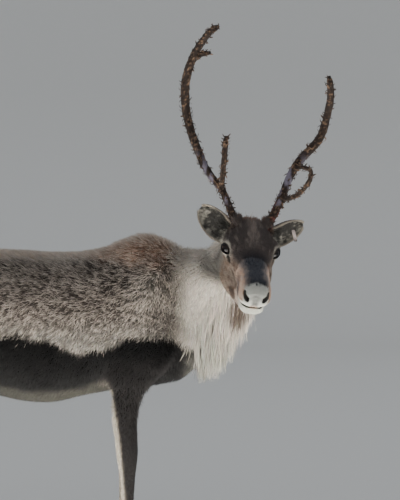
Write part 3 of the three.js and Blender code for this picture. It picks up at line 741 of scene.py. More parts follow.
def end_colors(c, p, ragged):
    """White rump patch, dark upper tail, brown beard under the jaw, and the dark nape."""
    x, y, z = p.T
    c = lay(c, RUMP_WHITE, ramp(np.hypot(y * 1.1, (z - 800) * 0.6), 92, 62) * ramp(x, -800, -830))
    tail = ramp(limb_field(p, TAIL), 14, 4)
    c = lay(c, CHARCOAL, tail * ramp(x, -880, -900) * ramp(z, 770, 800) * 0.8)
    local = to_head(p)
    beard = ball_field(local, (10, 0, -150), (75, 34, 60), (0, 40, 0))
    c = lay(c, BEARD, ramp(beard + ragged, 16, -10) * 0.9)
    nape = ramp(local[:, 0], -124, -104) * ramp(local[:, 2], 22, 40) * ramp(np.abs(local[:, 1]), 74, 60)
    return lay(c, FACE_DARK, nape)


def body_colors(p):
    """Colours of trunk, neck, legs and tail."""
    big = noise(p, 90, 1)
    ragged = noise(p, 24, 2) * 9 + noise(p, 9, 3) * 6
    c = stripe_colors(trunk_colors(p, big, ragged), p, ragged)
    c = neck_colors(c, p, big, ragged)
    return end_colors(leg_colors(c, p, ragged), p, ragged)


# %% [markdown]
# ## Markings of the face
# The face is dark on forehead and bridge and tan on the cheeks, with pale rings round the eyes, a
# grey nose and pale lips. Its marks are finer than the body's, so they have noise of their own.

# %% Colours of the face
FACE_DARK = shade(90, 80, 75)
FACE_STREAK = shade(150, 136, 126)
BRIDGE = shade(22, 24, 32)
TAN = shade(160, 128, 106)
FACE_CREAM = shade(188, 180, 166)
CHEEK_BROWN = shade(78, 60, 50)
NOSE_GREY = shade(172, 172, 164)
NOSE_DARK = shade(20, 19, 22)
LIP = shade(182, 181, 168)
CROWN = shade(138, 104, 84)


def brow_colors(local, at, ragged):
    """Dark forehead with lighter streaks, and the brown crown between the antlers."""
    x, side, z = at.T
    c = np.tile(FACE_DARK, (len(local), 1))
    streak = ramp(noise(local * (0.3, 1, 1), 7, 6), 0.1, 0.8)
    c = lay(c, FACE_STREAK, streak * ramp(x, 80, 10) * 0.8)
    c = lay(c, FACE_STREAK, ramp(side + ragged, 20, 6) * ramp(x, 60, 10) * ramp(z, 20, 40) * 0.55)
    return lay(c, CROWN, ramp(np.abs(x + 92 + ragged), 26, 6) * ramp(side, 46, 30) * ramp(z, 20, 45))


def cheek_colors(c, local, at, ragged):
    """Tan cheeks flecked with brown, cream under the jaw, and the dark wedge of the bridge."""
    x, side, z = at.T
    cheek = ramp(z + ragged - 0.08 * x, 6, -20) * ramp(x + ragged, -90, -50)
    fleck = ramp(noise(local * (0.35, 1, 1), 6, 17), -0.2, 0.7)
    # painted light: the lighter neck colour at the back of the head lifts the shaded crease by the neck
    c = lay(c, NECK_TOP_LIT, ramp(x + ragged, -66, -90) * ramp(z, 30, 8))
    c = lay(c, FACE_CREAM, cheek)
    c = lay(c, TAN, cheek * ramp(x + 0.3 * z, -60, -10) * (0.5 + 0.4 * fleck))
    jaw = cheek * (0.25 + 0.75 * fleck) * ramp(x, -10, 70) * ramp(z + 0.1 * x, -124, -96)
    c = lay(c, CHEEK_BROWN, jaw * 0.6)
    jaw_patch = ball_field(at, (118, 50, -84), (34, 22, 16))
    c = lay(c, CHEEK_BROWN, ramp(jaw_patch + ragged, 3, -4) * 0.8)
    c = lay(c, FACE_CREAM, ramp(z + 0.12 * x + ragged, -112, -124))
    wedge = np.interp(x, [20, 60, 100, 145, 185, 250], [72, 60, 44, 33, 35, 37])
    beside = ramp(side + ragged, wedge - 2, wedge + 6) * ramp(x + ragged, 62, 104) * ramp(z, -38, -10)
    c = lay(c, TAN, beside * (0.55 + 0.35 * fleck))
    bridge = ramp(side + ragged * 1.4, wedge - 2, wedge - 18) * ramp(x + ragged, 40, 120)
    return lay(c, BRIDGE, bridge * ramp(z, -10, 6))


def lid_colors(c, at, ragged):
    """A pale ring round each eye, dark lids, painted shade in the crease under the upper fold, and the
    dark slit of the tear gland.
    """
    z = at[:, 2]
    eye = np.linalg.norm(at - EYE_AT, axis=1)
    opening = lid_opening(at)
    c = lay(c, FACE_CREAM, ramp(opening + ragged, 15, 9) * ramp(eye, 46, 38) * 0.85)
    # painted shade: darker in the crease under the upper lid's fold
    crease = ramp(opening, 7.5, 5.5) * ramp(opening, 3.0, 4.5) * ramp(eye, 36, 30)
    c = lay(c, FACE_DARK, crease * ramp(z, 0, 8) * 0.6)
    c = lay(c, NOSE_DARK, ramp(opening, 5.2, 3.4) * ramp(eye, 34, 30))
    gland = ball_field(at, (37, 66, -18), (17, 9, 7), (0, 30, -24))
    return lay(c, NOSE_DARK, ramp(gland + ragged * 0.4, 3, -1) * 0.85)


def muzzle_colors(c, at, ragged):
    """Grey nose, pale lips, brown striped lip side, and painted shade in the nostrils and along the
    gap of the mouth.
    """
    x, side, z = at.T
    front = ramp(x + 0.25 * z + ragged * 1.4, 231, 240) * ramp(side + ragged * 0.6, 40, 33)
    c = lay(c, NOSE_GREY, front)
    c = lay(c, CHARCOAL, front * ramp(side, 15, 4) * ramp(z, 4, -30) * 0.7)
    c = lay(c, LIP, ramp(x, 196, 222) * ramp(z, -26, -38) * ramp(side, 8, 16))
    whiskers = ball_field(at, (186, 50, -30), (30, 16, 17), (0, 20, 0))
    stripes = 0.5 + 0.5 * np.sin((x + z) * 0.42 + ragged * 0.4)
    lip_side = ball_field(at, (172, 46, -24), (46, 27, 28), (0, 10, 0))
    c = lay(c, CHEEK_BROWN, ramp(lip_side + ragged, 4, -8) * (0.55 + 0.35 * stripes))
    c = lay(c, NOSE_DARK, ramp(whiskers, 3, -4) * (0.35 + 0.5 * stripes))
    # painted shade: dark in and round the nostril hollows
    c = lay(c, NOSE_DARK, ramp(nostril_field(at), 3.0, 0.8))
    # painted shade: a dark line along the gap between the lips
    gap = np.abs(z - mouth_level(x))
    c = lay(c, NOSE_DARK, ramp(gap, 6.5, 3.5) * ramp(x, MOUTH_CORNER, MOUTH_CORNER + 14) * 0.95)
    c = lay(c, LIP, ramp(x, 170, 205) * ramp(z, -60, -64))
    return lay(c, BEARD, ramp(np.abs(z + 88 + ragged * 0.5), 5, 2) * ramp(x, 120, 160) * 0.6)


def head_colors(local):
    """Colours of the head, in its own frame."""
    at = mirrored(local)
    ragged = noise(local, 12, 4) * 4 + noise(local, 5, 5) * 3
    c = cheek_colors(brow_colors(local, at, ragged), local, at, ragged)
    return muzzle_colors(lid_colors(c, at, ragged), at, ragged)


# %% [markdown]
# ## Skin
# The head needs eyelids of a few millimetres and the trunk doesn't, so the same field is meshed
# twice, fine for the head and wider for the body. The two nets overlap by a finger's breadth inside
# the neck, under long hair, and are one object.

# %% Mesh the skin
BODY_STEP = 7.5
HEAD_STEP = 2.3
HEAD_BACK = -118


def body_net(points):
    """The skin behind the head, closed just past the nape."""
    local = to_head(points)
    skull = np.maximum(HEAD_BACK - 12 - local[:, 0], -142 - local[:, 2])
    skull = np.maximum(skull, 250 - points[:, 0])
    return np.maximum(skin_field(points), -skull)


def head_net(local):
    """The head with its folds and a stub of neck, cut off a little inside the body's net."""
    points = from_head(local)
    depth = 1.0 + 3 * ramp(local[:, 0], 120, -40) + 6 * ramp(local[:, 0], -60, -140)
    lids = np.linalg.norm(local * (1, 0, 1), axis=1)
    depth = depth * ramp(lids, 24, 44) + 0.3
    head = head_field(local) + depth
    head = melt(head, body_field(points) + coat_depth(points), 26)
    walls = np.maximum(np.abs(local[:, 1]) - 112, -158 - local[:, 2])
    return np.maximum(head, np.maximum(HEAD_BACK - local[:, 0] - 26, walls))


body_low, body_high = (-930, -250, 12), (480, 250, 1075)
body_verts, body_quads = surface_nets(body_net, body_low, body_high, BODY_STEP)
head_verts, head_quads = surface_nets(head_net, (-158, -120, -168), (262, 120, 98), HEAD_STEP)
print("body net:", len(body_quads), "quads; head net:", len(head_quads), "quads")
body_normals = vertex_normals(body_verts, body_quads)
head_normals = vertex_normals(head_verts, head_quads)

skin_verts = np.vstack([body_verts, from_head(head_verts)])
skin_faces = np.vstack([body_quads, head_quads + len(body_verts)])
skin_colors = np.vstack([body_colors(body_verts), head_colors(head_verts)])
hide = painted("hide under the hair", 0.85, 0.0, 900, 0.5)
skin = make_mesh("skin", skin_verts, skin_faces, skin_colors * 0.8)
flesh_names = ("trunk", "neck", "head", "tail")
flesh = [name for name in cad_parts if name.startswith("leg_") or name in flesh_names]
place(skin, hide, "coat", *flesh)
print("skin:", len(skin_faces) * 2, "triangles")

# %% [markdown]
# ## Hair as mesh
# A tuft is a slim three-sided dart, sunk at its root, that lies along the coat. Hundreds of thousands
# of them cost little when they are worked out as whole arrays. Each tuft's map patch sits at its
# root's place on an unwrap of the skin: along the part one way and round it the other.

# %% Tufts
rng = np.random.default_rng(11)


def scatter(verts, normals, faces, weight, count):
    """Random places on the quads, as many on each as its area times its weight allows."""
    corners = verts[faces]
    area = np.linalg.norm(np.cross(corners[:, 2] - corners[:, 0], corners[:, 3] - corners[:, 1]), axis=1)
    chance = area * weight(corners.mean(axis=1))
    pick = rng.choice(len(faces), count, p=chance / chance.sum())
    u, v = rng.random((2, count, 1))
    share = ((1 - u) * (1 - v), u * (1 - v), u * v, (1 - u) * v)
    chosen = faces[pick]
    spots = sum(s * verts[chosen[:, k]] for k, s in enumerate(share))
    return spots, unit(sum(s * normals[chosen[:, k]] for k, s in enumerate(share)))


def combed(normals, lie, scatter_by=0.12):
    """The lie of the hair, laid flat on the skin and a little tousled."""
    lie = lie + scatter_by * rng.normal(size=lie.shape)
    return unit(lie - (lie * normals).sum(axis=1, keepdims=True) * normals)


# The corners of a dart's four faces, and how wide a tuft's patch is on the map
DART = np.array([[0, 1, 3], [1, 2, 3], [2, 0, 3], [0, 2, 1]])
PATCH = 0.003


def darts(roots, normals, along, length, width, lift, root_color, tip_color, unwrap):
    """Straight tufts of four corners: a flat ring of three at the root, and a tip that is a length
    along the lie, lifted from the skin by an angle."""
    count = len(roots)
    length, width, lift = (np.broadcast_to(a, count)[:, None] for a in (length, width, lift))
    side = np.cross(normals, along)
    start = roots - normals * width * 0.5
    tip = start + (along * np.cos(lift) + normals * np.sin(lift)) * length
    ring = [side * 0.5 - normals * 0.1, normals * 0.4, side * -0.5 - normals * 0.1]
    verts = np.stack([start + r * width for r in ring] + [tip], axis=1).reshape(-1, 3)
    faces = (np.arange(count)[:, None, None] * len(ring + [tip]) + DART).reshape(-1, 3)
    colors = np.stack([root_color] * 3 + [tip_color], axis=1).reshape(-1, 3)
    patch = PATCH * np.array([[0, 0], [0.5, 0], [1, 0], [0.5, 1]])
    return verts, faces, colors, (unwrap[:, None, :] + patch).reshape(-1, 2)


def spread(along, across, rise, strip=0, strips=1):
    """An unwrap: how far along the part, and the angle round it, in its own strip of the map."""
    u = (along - along.min()) / max(np.ptp(along), 1e-6)
    v = (np.arctan2(across, rise) / (2 * np.pi) + 0.5 + strip) / strips
    return np.stack([0.01 + 0.97 * u, 0.005 + 0.985 * v], axis=1)


def vary(colors, amount):
    """Hair differs from tuft to tuft, mostly in how light it is."""
    light = np.exp(np.reshape(amount, (-1, 1)) * rng.normal(size=(len(colors), 1)))
    return np.clip(colors * light * (1 + 0.04 * rng.normal(size=colors.shape)), 0.002, 0.9)


def place_hair(name, made, material, slot):
    """Makes a piece of tufts, places it and prints its size."""
    place(make_mesh(name, *made), material, slot)
    print(name, len(made[1]), "triangles")


# %% [markdown]
# ## Coat of the body
# Hair runs back along the trunk and droops on the flanks, runs down the legs, and hangs from the
# neck. It is densest and longest on back and neck and shortest on the legs, as on the live animal.


# %% Lie and length of the body's hair
def body_lie(p):
    """The direction in which the hair lies."""
    x, y, z = p.T
    one = np.ones(len(p))
    swirl = 0.45 * noise(p, 110, 21) + 0.4 * noise(p, 28, 22)
    droop = 0.3 + 0.55 * ramp(z, 940, 860) + 0.5 * ramp(x, -60, 120)
    trunk = np.stack([-one + swirl, np.sign(y) * 0.1, -droop - swirl], axis=1)
    leg = np.stack([-0.15 * one, 0 * one, -one], axis=1)
    row, _, travel = along_neck(p)
    neck = -row[:, 9:12] * 0.55 + np.array([-0.1, 0.0, -1.0]) * (0.75 + 0.4 * travel[:, None])
    share = ramp(x, 120, 230)[:, None]
    lie = trunk * (1 - share) + neck * share
    low = (ramp(z, 640, 540) * ramp(nearest_leg(p), 30, 8))[:, None]
    lie = lie * (1 - low) + leg * low
    rump = ramp(x, -780, -840)[:, None]
    return unit(lie * (1 - rump) + np.array([-0.2, 0, -1.0]) * rump)


def body_length(p):
    """The hair's length."""
    x, _, z = p.T
    leg = 11 + 25 * ramp(z, 330, 600)
    body = 32 + 8 * ramp(z, 850, 960) + 14 * ramp(x, 120, 220)
    return leg + (body - leg) * ramp(z, 430, 640) * (1 - 0.35 * ramp(z, 640, 560))


# The coat's pieces: name, number of tufts and material slot
COAT = [
    ("coat_neck", 45000, "pale_coat"),
    ("coat_shoulders", 47000, "coat"),
    ("coat_flanks", 47000, "coat"),
    ("coat_rump", 38000, "coat"),
    ("coat_belly", 16000, "coat"),
    ("coat_fore_legs", 22000, "leg_coat"),
    ("coat_hind_legs", 22000, "leg_coat"),
]
NECK_PIECE, SHOULDERS, FLANKS, RUMP, BELLY_PIECE, FORE_LEGS, HIND_LEGS = range(len(COAT))


def region_of(p):
    """The number of the coat piece that each root belongs to."""
    x, _, z = p.T
    legs = (nearest_leg(p) < 6) & (z < 560)
    region = np.full(len(p), FLANKS)
    region[x > 175] = NECK_PIECE
    region[(x <= 175) & (x > -160)] = SHOULDERS
    region[x < -480] = RUMP
    region[(region != NECK_PIECE) & (z < 560)] = BELLY_PIECE
    region[legs & (x > -200)] = FORE_LEGS
    region[legs & (x <= -200)] = HIND_LEGS
    return region


# %% [markdown]
# ## Growing the coat
# Each piece is grown on its own region of the skin, so none gets too heavy. Tips differ from roots:
# dark clumps and pale tips mottle the back and shoulder, and pale tips painted on the up-facing ridge
# of the back stand for the light from above.


# %% Grow the body's coat
def coat_weight(p):
    """Short hair stands denser than long hair."""
    return 1 / body_length(p)


def coat_colors(roots, normals, on_legs):
    """The colours of the tufts' roots and tips."""
    base = body_colors(roots)
    clump = ramp(noise(roots, 8, 31) + 0.6 * noise(roots, 4.5, 32), -0.5, 0.6)[:, None]
    mottled = ramp(roots[:, 0], 200, 90) * ramp(roots[:, 2], 600, 700)
    dim = 0.2 * ramp(roots[:, 0], 60, 200) + 0.78 * mottled
    tip = vary(base, 0.18 + 0.22 * mottled) * (1.1 - (1 - clump) * dim[:, None])
    chance = (0.1 + 0.75 * clump[:, 0]) * mottled * ramp(roots[:, 2], 690, 790)
    pale = rng.random(len(roots)) < chance
    tip[pale] = tip[pale] * 0.3 + BACK_TIP * 0.85
    if on_legs:
        tip = vary(tip, 0.4)
    # painted light: pale tips on the up-facing ridge of the back, lit from above
    lit_ridge = ramp(normals[:, 2], 0.75, 0.95)[:, None] * ramp(roots[:, 2], 880, 930)[:, None]
    fringe = vary(np.tile(BACK_TIP, (len(roots), 1)), 0.15)
    return base * 0.5, tip * (1 - 0.7 * lit_ridge) + fringe * 0.7 * lit_ridge


def coat_unwrap(roots, on_legs):
    """Legs are unwrapped along their height, one strip to each side, and the rest along x."""
    x, y, z = roots.T
    if on_legs:
        return spread(z, y - np.sign(y) * 98, x % 180 - 90, (y > 0) * 1, 2)
    return spread(x, y, z - 760)


hair = painted("coat hair", 0.7, 0.03)
middles = body_verts[body_quads].mean(axis=1)
face_region = region_of(middles)
inside_head = to_head(middles)
covered = (inside_head[:, 0] > HEAD_BACK + 6) & (inside_head[:, 2] > -136) & (middles[:, 0] > 250)
quick_share = 1.0
for number, (name, count, slot) in enumerate(COAT):
    on_legs = number in (FORE_LEGS, HIND_LEGS)
    chosen = body_quads[(face_region == number) & ~covered]
    roots, normals = scatter(body_verts, body_normals, chosen, coat_weight, int(count * quick_share))
    along = combed(normals, body_lie(roots), 0.34)
    length = body_length(roots) * rng.uniform(0.75, 1.1, len(roots))
    rise = np.clip(coat_depth(roots) / length, 0.08, 0.8)
    lift = np.arcsin(rise) * rng.uniform(0.7, 1.08, len(roots))
    width = np.clip(length * 0.115, 1.5, 6.5)
    colors = coat_colors(roots, normals, on_legs)
    unwrap = coat_unwrap(roots, on_legs)
    place_hair(name, darts(roots, normals, along, length, width, lift, *colors, unwrap), hair, slot)

# %% [markdown]
# ## The throat mane
# A reindeer's throat carries long hair in flat locks that hang to the breast. Each lock is a
# ribbon-like loft of four-sided rings that swells, tapers and curls, grown from the same seed each
# time.


# %% Long locks
def locks(roots, out, hang, length, width, thick, root_color, tip_color, unwrap):
    """Flat tapered lofts: six rings of four corners, and a tip, along a bending path."""
    steps = np.array([0, 0.12, 0.3, 0.52, 0.74, 0.9, 1.0])
    count = len(roots)
    side = unit(np.cross(hang, out))
    flat = np.cross(side, hang)
    sway = rng.normal(size=(count, 1)) * 0.07
    taper = (1 - steps) ** 0.6 * (0.75 + 0.45 * np.sin(np.pi * steps))
    rings = []
    for s, t in zip(steps, taper):
        leave = out * (min(1.0, s * 4) * 12 - 12) + flat * (4 * s)
        centre = roots + leave + hang * (length * s)[:, None] + side * (sway * length[:, None] * s * s)
        w, h = (width * 0.5 * t)[:, None], (thick * 0.5 * t)[:, None]
        if s == 1:
            rings.append(centre[:, None])
        else:
            rings.append(np.stack([centre + o for o in (side * w, flat * h, -side * w, -flat * h)], axis=1))
    verts = np.concatenate(rings, axis=1)
    each = verts.shape[1]
    faces = []
    for i in range(len(steps) - 2):
        for k in range(4):
            a, b = 4 * i + k, 4 * i + (k + 1) % 4
            faces += [(a, b, b + 4), (a, b + 4, a + 4)]
    last = 4 * (len(steps) - 2)
    faces += [(last + k, last + (k + 1) % 4, each - 1) for k in range(4)]
    faces += [(0, 2, 1), (0, 3, 2)]
    faces = (np.arange(count)[:, None, None] * each + np.array(faces)).reshape(-1, 3)
    share = np.append(np.repeat(steps[:-1], 4), 1.0)[None, :, None]
    colors = root_color[:, None] * (1 - share) + tip_color[:, None] * share
    patch = PATCH * np.stack([np.append(np.tile([0, 0.5, 1, 0.5], 6), 0.5), share[0, :, 0]], axis=1)
    uv = unwrap[:, None, :] + patch
    return verts.reshape(-1, 3), faces, colors.reshape(-1, 3), uv.reshape(-1, 2)


def grow_mane(name, count, width, spread_degrees, longest):
    """Locks on the underside of the neck, longest on the middle line and at the breast."""
    sunk = 16
    shortest = 70
    travel = rng.uniform(0.2, 0.86, count)
    stations = neck_stations()
    row = neck_row(stations, travel * (len(stations) - 1))
    angle = np.radians(spread_degrees) * np.clip(rng.normal(0, 0.5, count), -1, 1)
    side, up = row[:, 3:6], row[:, 6:9]
    out = unit(side * np.sin(angle)[:, None] - up * np.cos(angle)[:, None])
    roots = row[:, :3] + side * ((row[:, 12] - sunk) * np.sin(angle))[:, None]
    roots = roots - up * ((row[:, 14] - sunk) * np.cos(angle))[:, None]
    hang = np.array([-0.14, 0.03, -1.0]) + 0.05 * rng.normal(size=(count, 3)) + out * 0.14
    length = shortest + (longest - shortest) * np.cos(angle) ** 1.5
    length = length * (1 - 0.38 * travel) * rng.uniform(0.65, 1.1, count)
    length = np.minimum(length, np.maximum(45, roots[:, 2] - rng.uniform(548, 590, count)))
    base = body_colors(roots)
    tip = vary(base, 0.16)
    widths = width * rng.uniform(0.6, 1.2, count)
    thick = np.full(count, 0.35 * width)
    unwrap = spread(travel, np.sin(angle), np.cos(angle))
    made = locks(roots, out, unit(hang), length, widths, thick, base * 0.7, tip, unwrap)
    place_hair(name, made, hair, "pale_coat")


grow_mane("mane_locks", 800, 11.0, 58, 170)
grow_mane("mane_strands", 2800, 3.6, 68, 165)

# %% [markdown]
# ## Face hair
# The face is covered to the lips in hair only millimetres long. It lies from the nose back over the
# bridge and cheeks, so the tufts here are the smallest on the animal.


# %% Lie and length of the face's hair
def face_lie(p):
    """Back from the nose, outwards on the forehead and down on the cheeks."""
    x, y, z = p.T
    side = np.sign(y)
    back = np.stack([-np.ones(len(p)), side * 0.25 * ramp(x, 60, -20), 0.25 * ramp(x, 40, -60)], axis=1)
    cheek = ramp(z, 0, -50)[:, None]
    return unit(back + cheek * np.stack([0 * x, 0 * y, -0.5 * np.ones(len(p))], axis=1))


def face_length(p):
    """Shortest on the nose and lips, longer towards the cheeks, crown and throat."""
    x, _, z = p.T
    crown = 9 * ramp(np.abs(x + 92), 40, 8) * ramp(z, 30, 48)
    length = 4.2 + 5 * ramp(x, 215, 90) + 9 * ramp(x, 40, -90) + 7 * ramp(z, -70, -110) + crown
    near_lid = ramp(lid_opening(mirrored(p)), 16, 4)
    return length * (1 - 0.6 * near_lid)


def face_weight(p):
    """Short hair stands denser, and more so than on the body."""
    return 1 / face_length(p) ** 1.3


def bare_skin(p):
    """True on the nostrils, lids and lips' edges, and where the head's net is inside the neck."""
    x, _, z = p.T
    at = mirrored(p)
    lid_margin = 2.6 + 4.4 * ramp(x, 4, 16)
    by_eye = np.linalg.norm(at - EYE_AT, axis=1) < 34
    bare = (nostril_field(at) < 2.2) | ((lid_opening(at) < lid_margin) & by_eye)
    mouth = (np.abs(z - mouth_level(x) - 1.5) < 4.5) & (x > MOUTH_CORNER)
    return bare | mouth | (x < HEAD_BACK - 16)


haired = head_quads[~bare_skin(head_verts[head_quads].mean(axis=1))]
for name, front in (("face_hair_muzzle", True), ("face_hair_crown", False)):
    part = haired[(head_verts[haired].mean(axis=1)[:, 0] > 40) == front]
    roots, normals = scatter(head_verts, head_normals, part, face_weight, int(24000 * quick_share))
    along = combed(normals, face_lie(roots), 0.16)
    length = face_length(roots) * rng.uniform(0.7, 1.2, len(roots))
    width = np.clip(length * 0.2, 1.1, 2.8)
    base = head_colors(roots)
    tip = vary(base, 0.2)
    unwrap = spread(roots[:, 0], roots[:, 1], roots[:, 2] + 20)
    lift = np.radians(20 + 8 * ramp(roots[:, 0], 0, -100))
    verts, *rest = darts(roots, normals, along, length, width, lift, base * 0.75, tip, unwrap)
    place_hair(name, (from_head(verts), *rest), hair, "face_coat")

# %% [markdown]
# ## Eyes
# A reindeer's eye is nearly black. A ball with a slightly raised cornea, a dark brown ring and a
# wide level pupil is enough, because the gloss carries the look.


# %% Eyes
def grid_faces(rows, cols, wrap=True):
    """Triangles over a grid of rows, joined round its columns."""
    i, k = np.meshgrid(np.arange(rows - 1), np.arange(cols if wrap else cols - 1), indexing="ij")
    a, b = i * cols + k, i * cols + (k + 1) % cols
    c, d = a + cols, b + cols
    halves = [np.stack(corners, axis=-1).reshape(-1, 3) for corners in ((a, b, d), (a, d, c))]
    return np.concatenate(halves)


def loft(rings):
    """A closed surface through rings of equal length, with a fan over each end."""
    count, sides, _ = rings.shape
    verts = np.vstack([rings.reshape(-1, 3), rings[0].mean(axis=0), rings[-1].mean(axis=0)])
    k = np.arange(sides)
    first, last = count * sides, count * sides + 1
    end = (count - 1) * sides
    caps = [np.stack([np.full(sides, first), (k + 1) % sides, k], axis=1)]
    caps.append(np.stack([np.full(sides, last), end + k, end + (k + 1) % sides], axis=1))
    faces = np.vstack([grid_faces(count, sides), *caps])
    a, b, c = (verts[faces[:, j]] for j in range(3))
    inside_out = (a * np.cross(b, c)).sum() < 0
    return verts, faces[:, ::-1] if inside_out else faces


eye_gloss = painted("wet eye", 0.09, 0.0)
eye_gloss.node_tree.nodes["Principled BSDF"].inputs["Specular IOR Level"].default_value = 0.22
for name, hand in (("right", -1), ("left", 1)):
    look = EYE_LOOK * (1, hand, 1)
    side = unit(np.cross((0, 0, 1), look))
    up = np.cross(look, side)
    angle = np.linspace(0.02, np.pi - 0.02, 40)[:, None, None]
    turn = np.linspace(0, 2 * np.pi, 48, endpoint=False)[None, :, None]
    bulge = EYE_RADIUS * (0.985 + 0.035 * ramp(angle, 0.75, 0.3))
    rings = bulge * (np.cos(angle) * look + np.sin(angle) * (np.cos(turn) * side + np.sin(turn) * up))
    centre = EYE_AT * (1, hand, 1)
    verts, faces = loft(rings + centre)
    local = unit(verts - centre)
    wide, tall = local @ side, local @ up
    iris = np.hypot(wide, tall)
    c = np.tile(shade(20, 14, 12), (len(verts), 1))
    c = lay(c, shade(22, 13, 8), ramp(iris, 0.62, 0.56))
    c = lay(c, shade(4, 4, 6), ramp(np.hypot(wide / 0.42, tall / 0.26), 1.05, 0.95))
    eye = make_mesh(f"eyeball_{name}", from_head(verts), faces, c)
    place(eye, eye_gloss, "eye", f"eye_{name}")
    print("eye", name, "of", len(faces), "triangles")

# %% [markdown]
# ## Ears
# An ear is a cupped leaf. It is a loft whose rings run over the inside of the cup and back over the
# outside, with pale fringe along the rim and long soft hair standing in the cup.

# %% Ears
EAR_LENGTH = 128
EAR_WIDTH = 100
EAR_THICK = 3.6
# Each ear's root, tip and the way it opens
EARS = {
    "ear_right": ((-84, -70, 0), (-140, -152, 46), (0.9, -0.25, -0.1)),
    "ear_left": ((-84, 70, 0), (-134, 180, 36), (0.9, 0.1, -0.25)),
}
EAR_GREY = shade(150, 145, 134)
EAR_DARK = shade(30, 28, 27)
EAR_RIM = shade(206, 192, 172)


def ear_frame(root, tip, opening):
    """The ear's root and its three directions: to the tip, across, and out of the cup."""
    root, tip, opening = (np.array(a, float) for a in (root, tip, opening))
    axis = unit(tip - root)
    face = unit(opening - (opening @ axis) * axis)
    return root, axis, np.cross(face, axis), face


def ear_point(shape, t, v, wall):
    """A point of the leaf, t from root to tip and v from edge to edge, sunk by wall behind it."""
    root, axis, side, face = shape
    leaf = np.sin(np.pi * np.minimum(1, 0.22 + 0.78 * t) ** 1.15) ** 0.5
    half = np.maximum(3, EAR_WIDTH / 2 * leaf)
    cup = half * 0.5 * (1 - 0.35 * t) * np.minimum(1, 0.25 + 3 * t)
    ripple = 0.8 * np.sin(v * 7 + 2) * ramp(t, 0.1, 0.3)
    rise = cup * v * v - cup * 0.6 + wall + ripple
    return root + axis * EAR_LENGTH * (t - 0.1) + side * half * np.sin(v * np.pi / 2) + face * rise


def ear_colors(t, v, inner, p):
    """Dark mottling inside with a pale rim and base; grey brown outside."""
    c = np.tile(FACE_DARK * 1.4, (len(t), 1))
    mott = 0.5 * noise(p, 16, 8) + 0.35 * noise(p, 5, 18) + 0.3 * noise(p, 2.5, 19)
    c = lay(c, EAR_GREY, inner)
    deep = 1.5 * mott + 1.0 - 1.2 * np.abs(v) + 0.3 * ramp(t, 0.2, 0.35) - 0.7 * ramp(t, 0.6, 0.95)
    c = lay(c, EAR_DARK, inner * ramp(deep, 0.1, 0.8) * 0.92)
    return lay(c, EAR_RIM, ramp(np.abs(v), 0.82, 0.95))


def ear_wall(v):
    """How far the outside lies behind the inside, thinner towards the edges."""
    return -EAR_THICK * (1 - 0.7 * v**2)


def ear_hide(name, shape):
    """Rings that run over the inside of the cup and back over the outside."""
    t = np.linspace(0.0, 0.995, 46)[:, None, None]
    span = np.linspace(-1, 1, 26)
    there, back = span[None, :, None], span[None, ::-1, None]
    inside, outside = ear_point(shape, t, there, 0), ear_point(shape, t, back, ear_wall(back))
    rings = np.concatenate([inside, outside], axis=1)
    verts, faces = loft(rings)
    grid_t = np.broadcast_to(t[:, :, 0], rings.shape[:2]).ravel()
    grid_v = np.broadcast_to(np.concatenate([span, span[::-1]])[None, :], rings.shape[:2]).ravel()
    inner = np.broadcast_to((np.arange(2 * len(span)) < len(span))[None, :] * 1.0, rings.shape[:2]).ravel()
    padded = [np.append(a, [a[0], a[-1]]) for a in (grid_t, grid_v, inner)]
    colors = ear_colors(*padded, verts)
    place(make_mesh(f"{name}_hide", from_head(verts), faces, colors * 0.8), hide_ear, "pale_coat", name)


def ear_hair(name, shape, count):
    """Long hair in the cup, short hair on the back and a fringe along the edge."""
    kind = rng.choice(3, count, p=[0.42, 0.36, 0.22])
    cup, back, edge = (kind == k for k in range(3))
    t = rng.uniform(0.1, 0.985, count) ** 0.85
    at_edge = np.sign(rng.normal(size=count)) * rng.uniform(0.93, 1.0, count)
    v = np.where(edge, at_edge, rng.uniform(-0.97, 0.97, count))
    wall = np.where(back, ear_wall(v), 0)
    roots, beside, beyond = (
        ear_point(shape, (t + dt)[:, None], (v + dv)[:, None], wall[:, None])
        for dt, dv in ((0, 0), (0, 0.01), (0.01, 0))
    )
    _, axis, side, face = shape
    normals = unit(np.cross(beside - roots, beyond - roots))
    normals = normals * np.where((normals @ face > 0) == ~back, 1, -1)[:, None]
    outward = unit(np.sign(v)[:, None] * side + 0.6 * axis)
    normals = np.where(edge[:, None], unit(outward + 0.4 * normals), normals)
    lie = axis + 0.3 * np.sign(v)[:, None] * side * cup[:, None]
    along = combed(normals, lie, 0.25)
    length = np.select([cup, back], [6 + 12 * ramp(t, 0.5, 0.15), 9 - 3 * t], 7.5)
    length = length * rng.uniform(0.6, 1.2, count)
    width = np.clip(length * 0.15, 0.9, 1.8)
    lift = np.radians(np.select([cup, back], [30, 16], 38))
    base = ear_colors(t, v, cup * 1.0, roots)
    unwrap = spread(t, v * 0.5, np.where(back, -1.0, 1.0))
    verts, *rest = darts(roots, normals, along, length, width, lift, base * 0.8, vary(base, 0.2), unwrap)
    place_hair(f"{name}_hair", (from_head(verts), *rest), hair, "pale_coat")


hide_ear = painted("ear hide", 0.8, 0.15, 700, 0.4)
for name, directions in EARS.items():
    shape = ear_frame(*directions)
    ear_hide(name, shape)
    ear_hair(name, shape, int(7500 * quick_share))
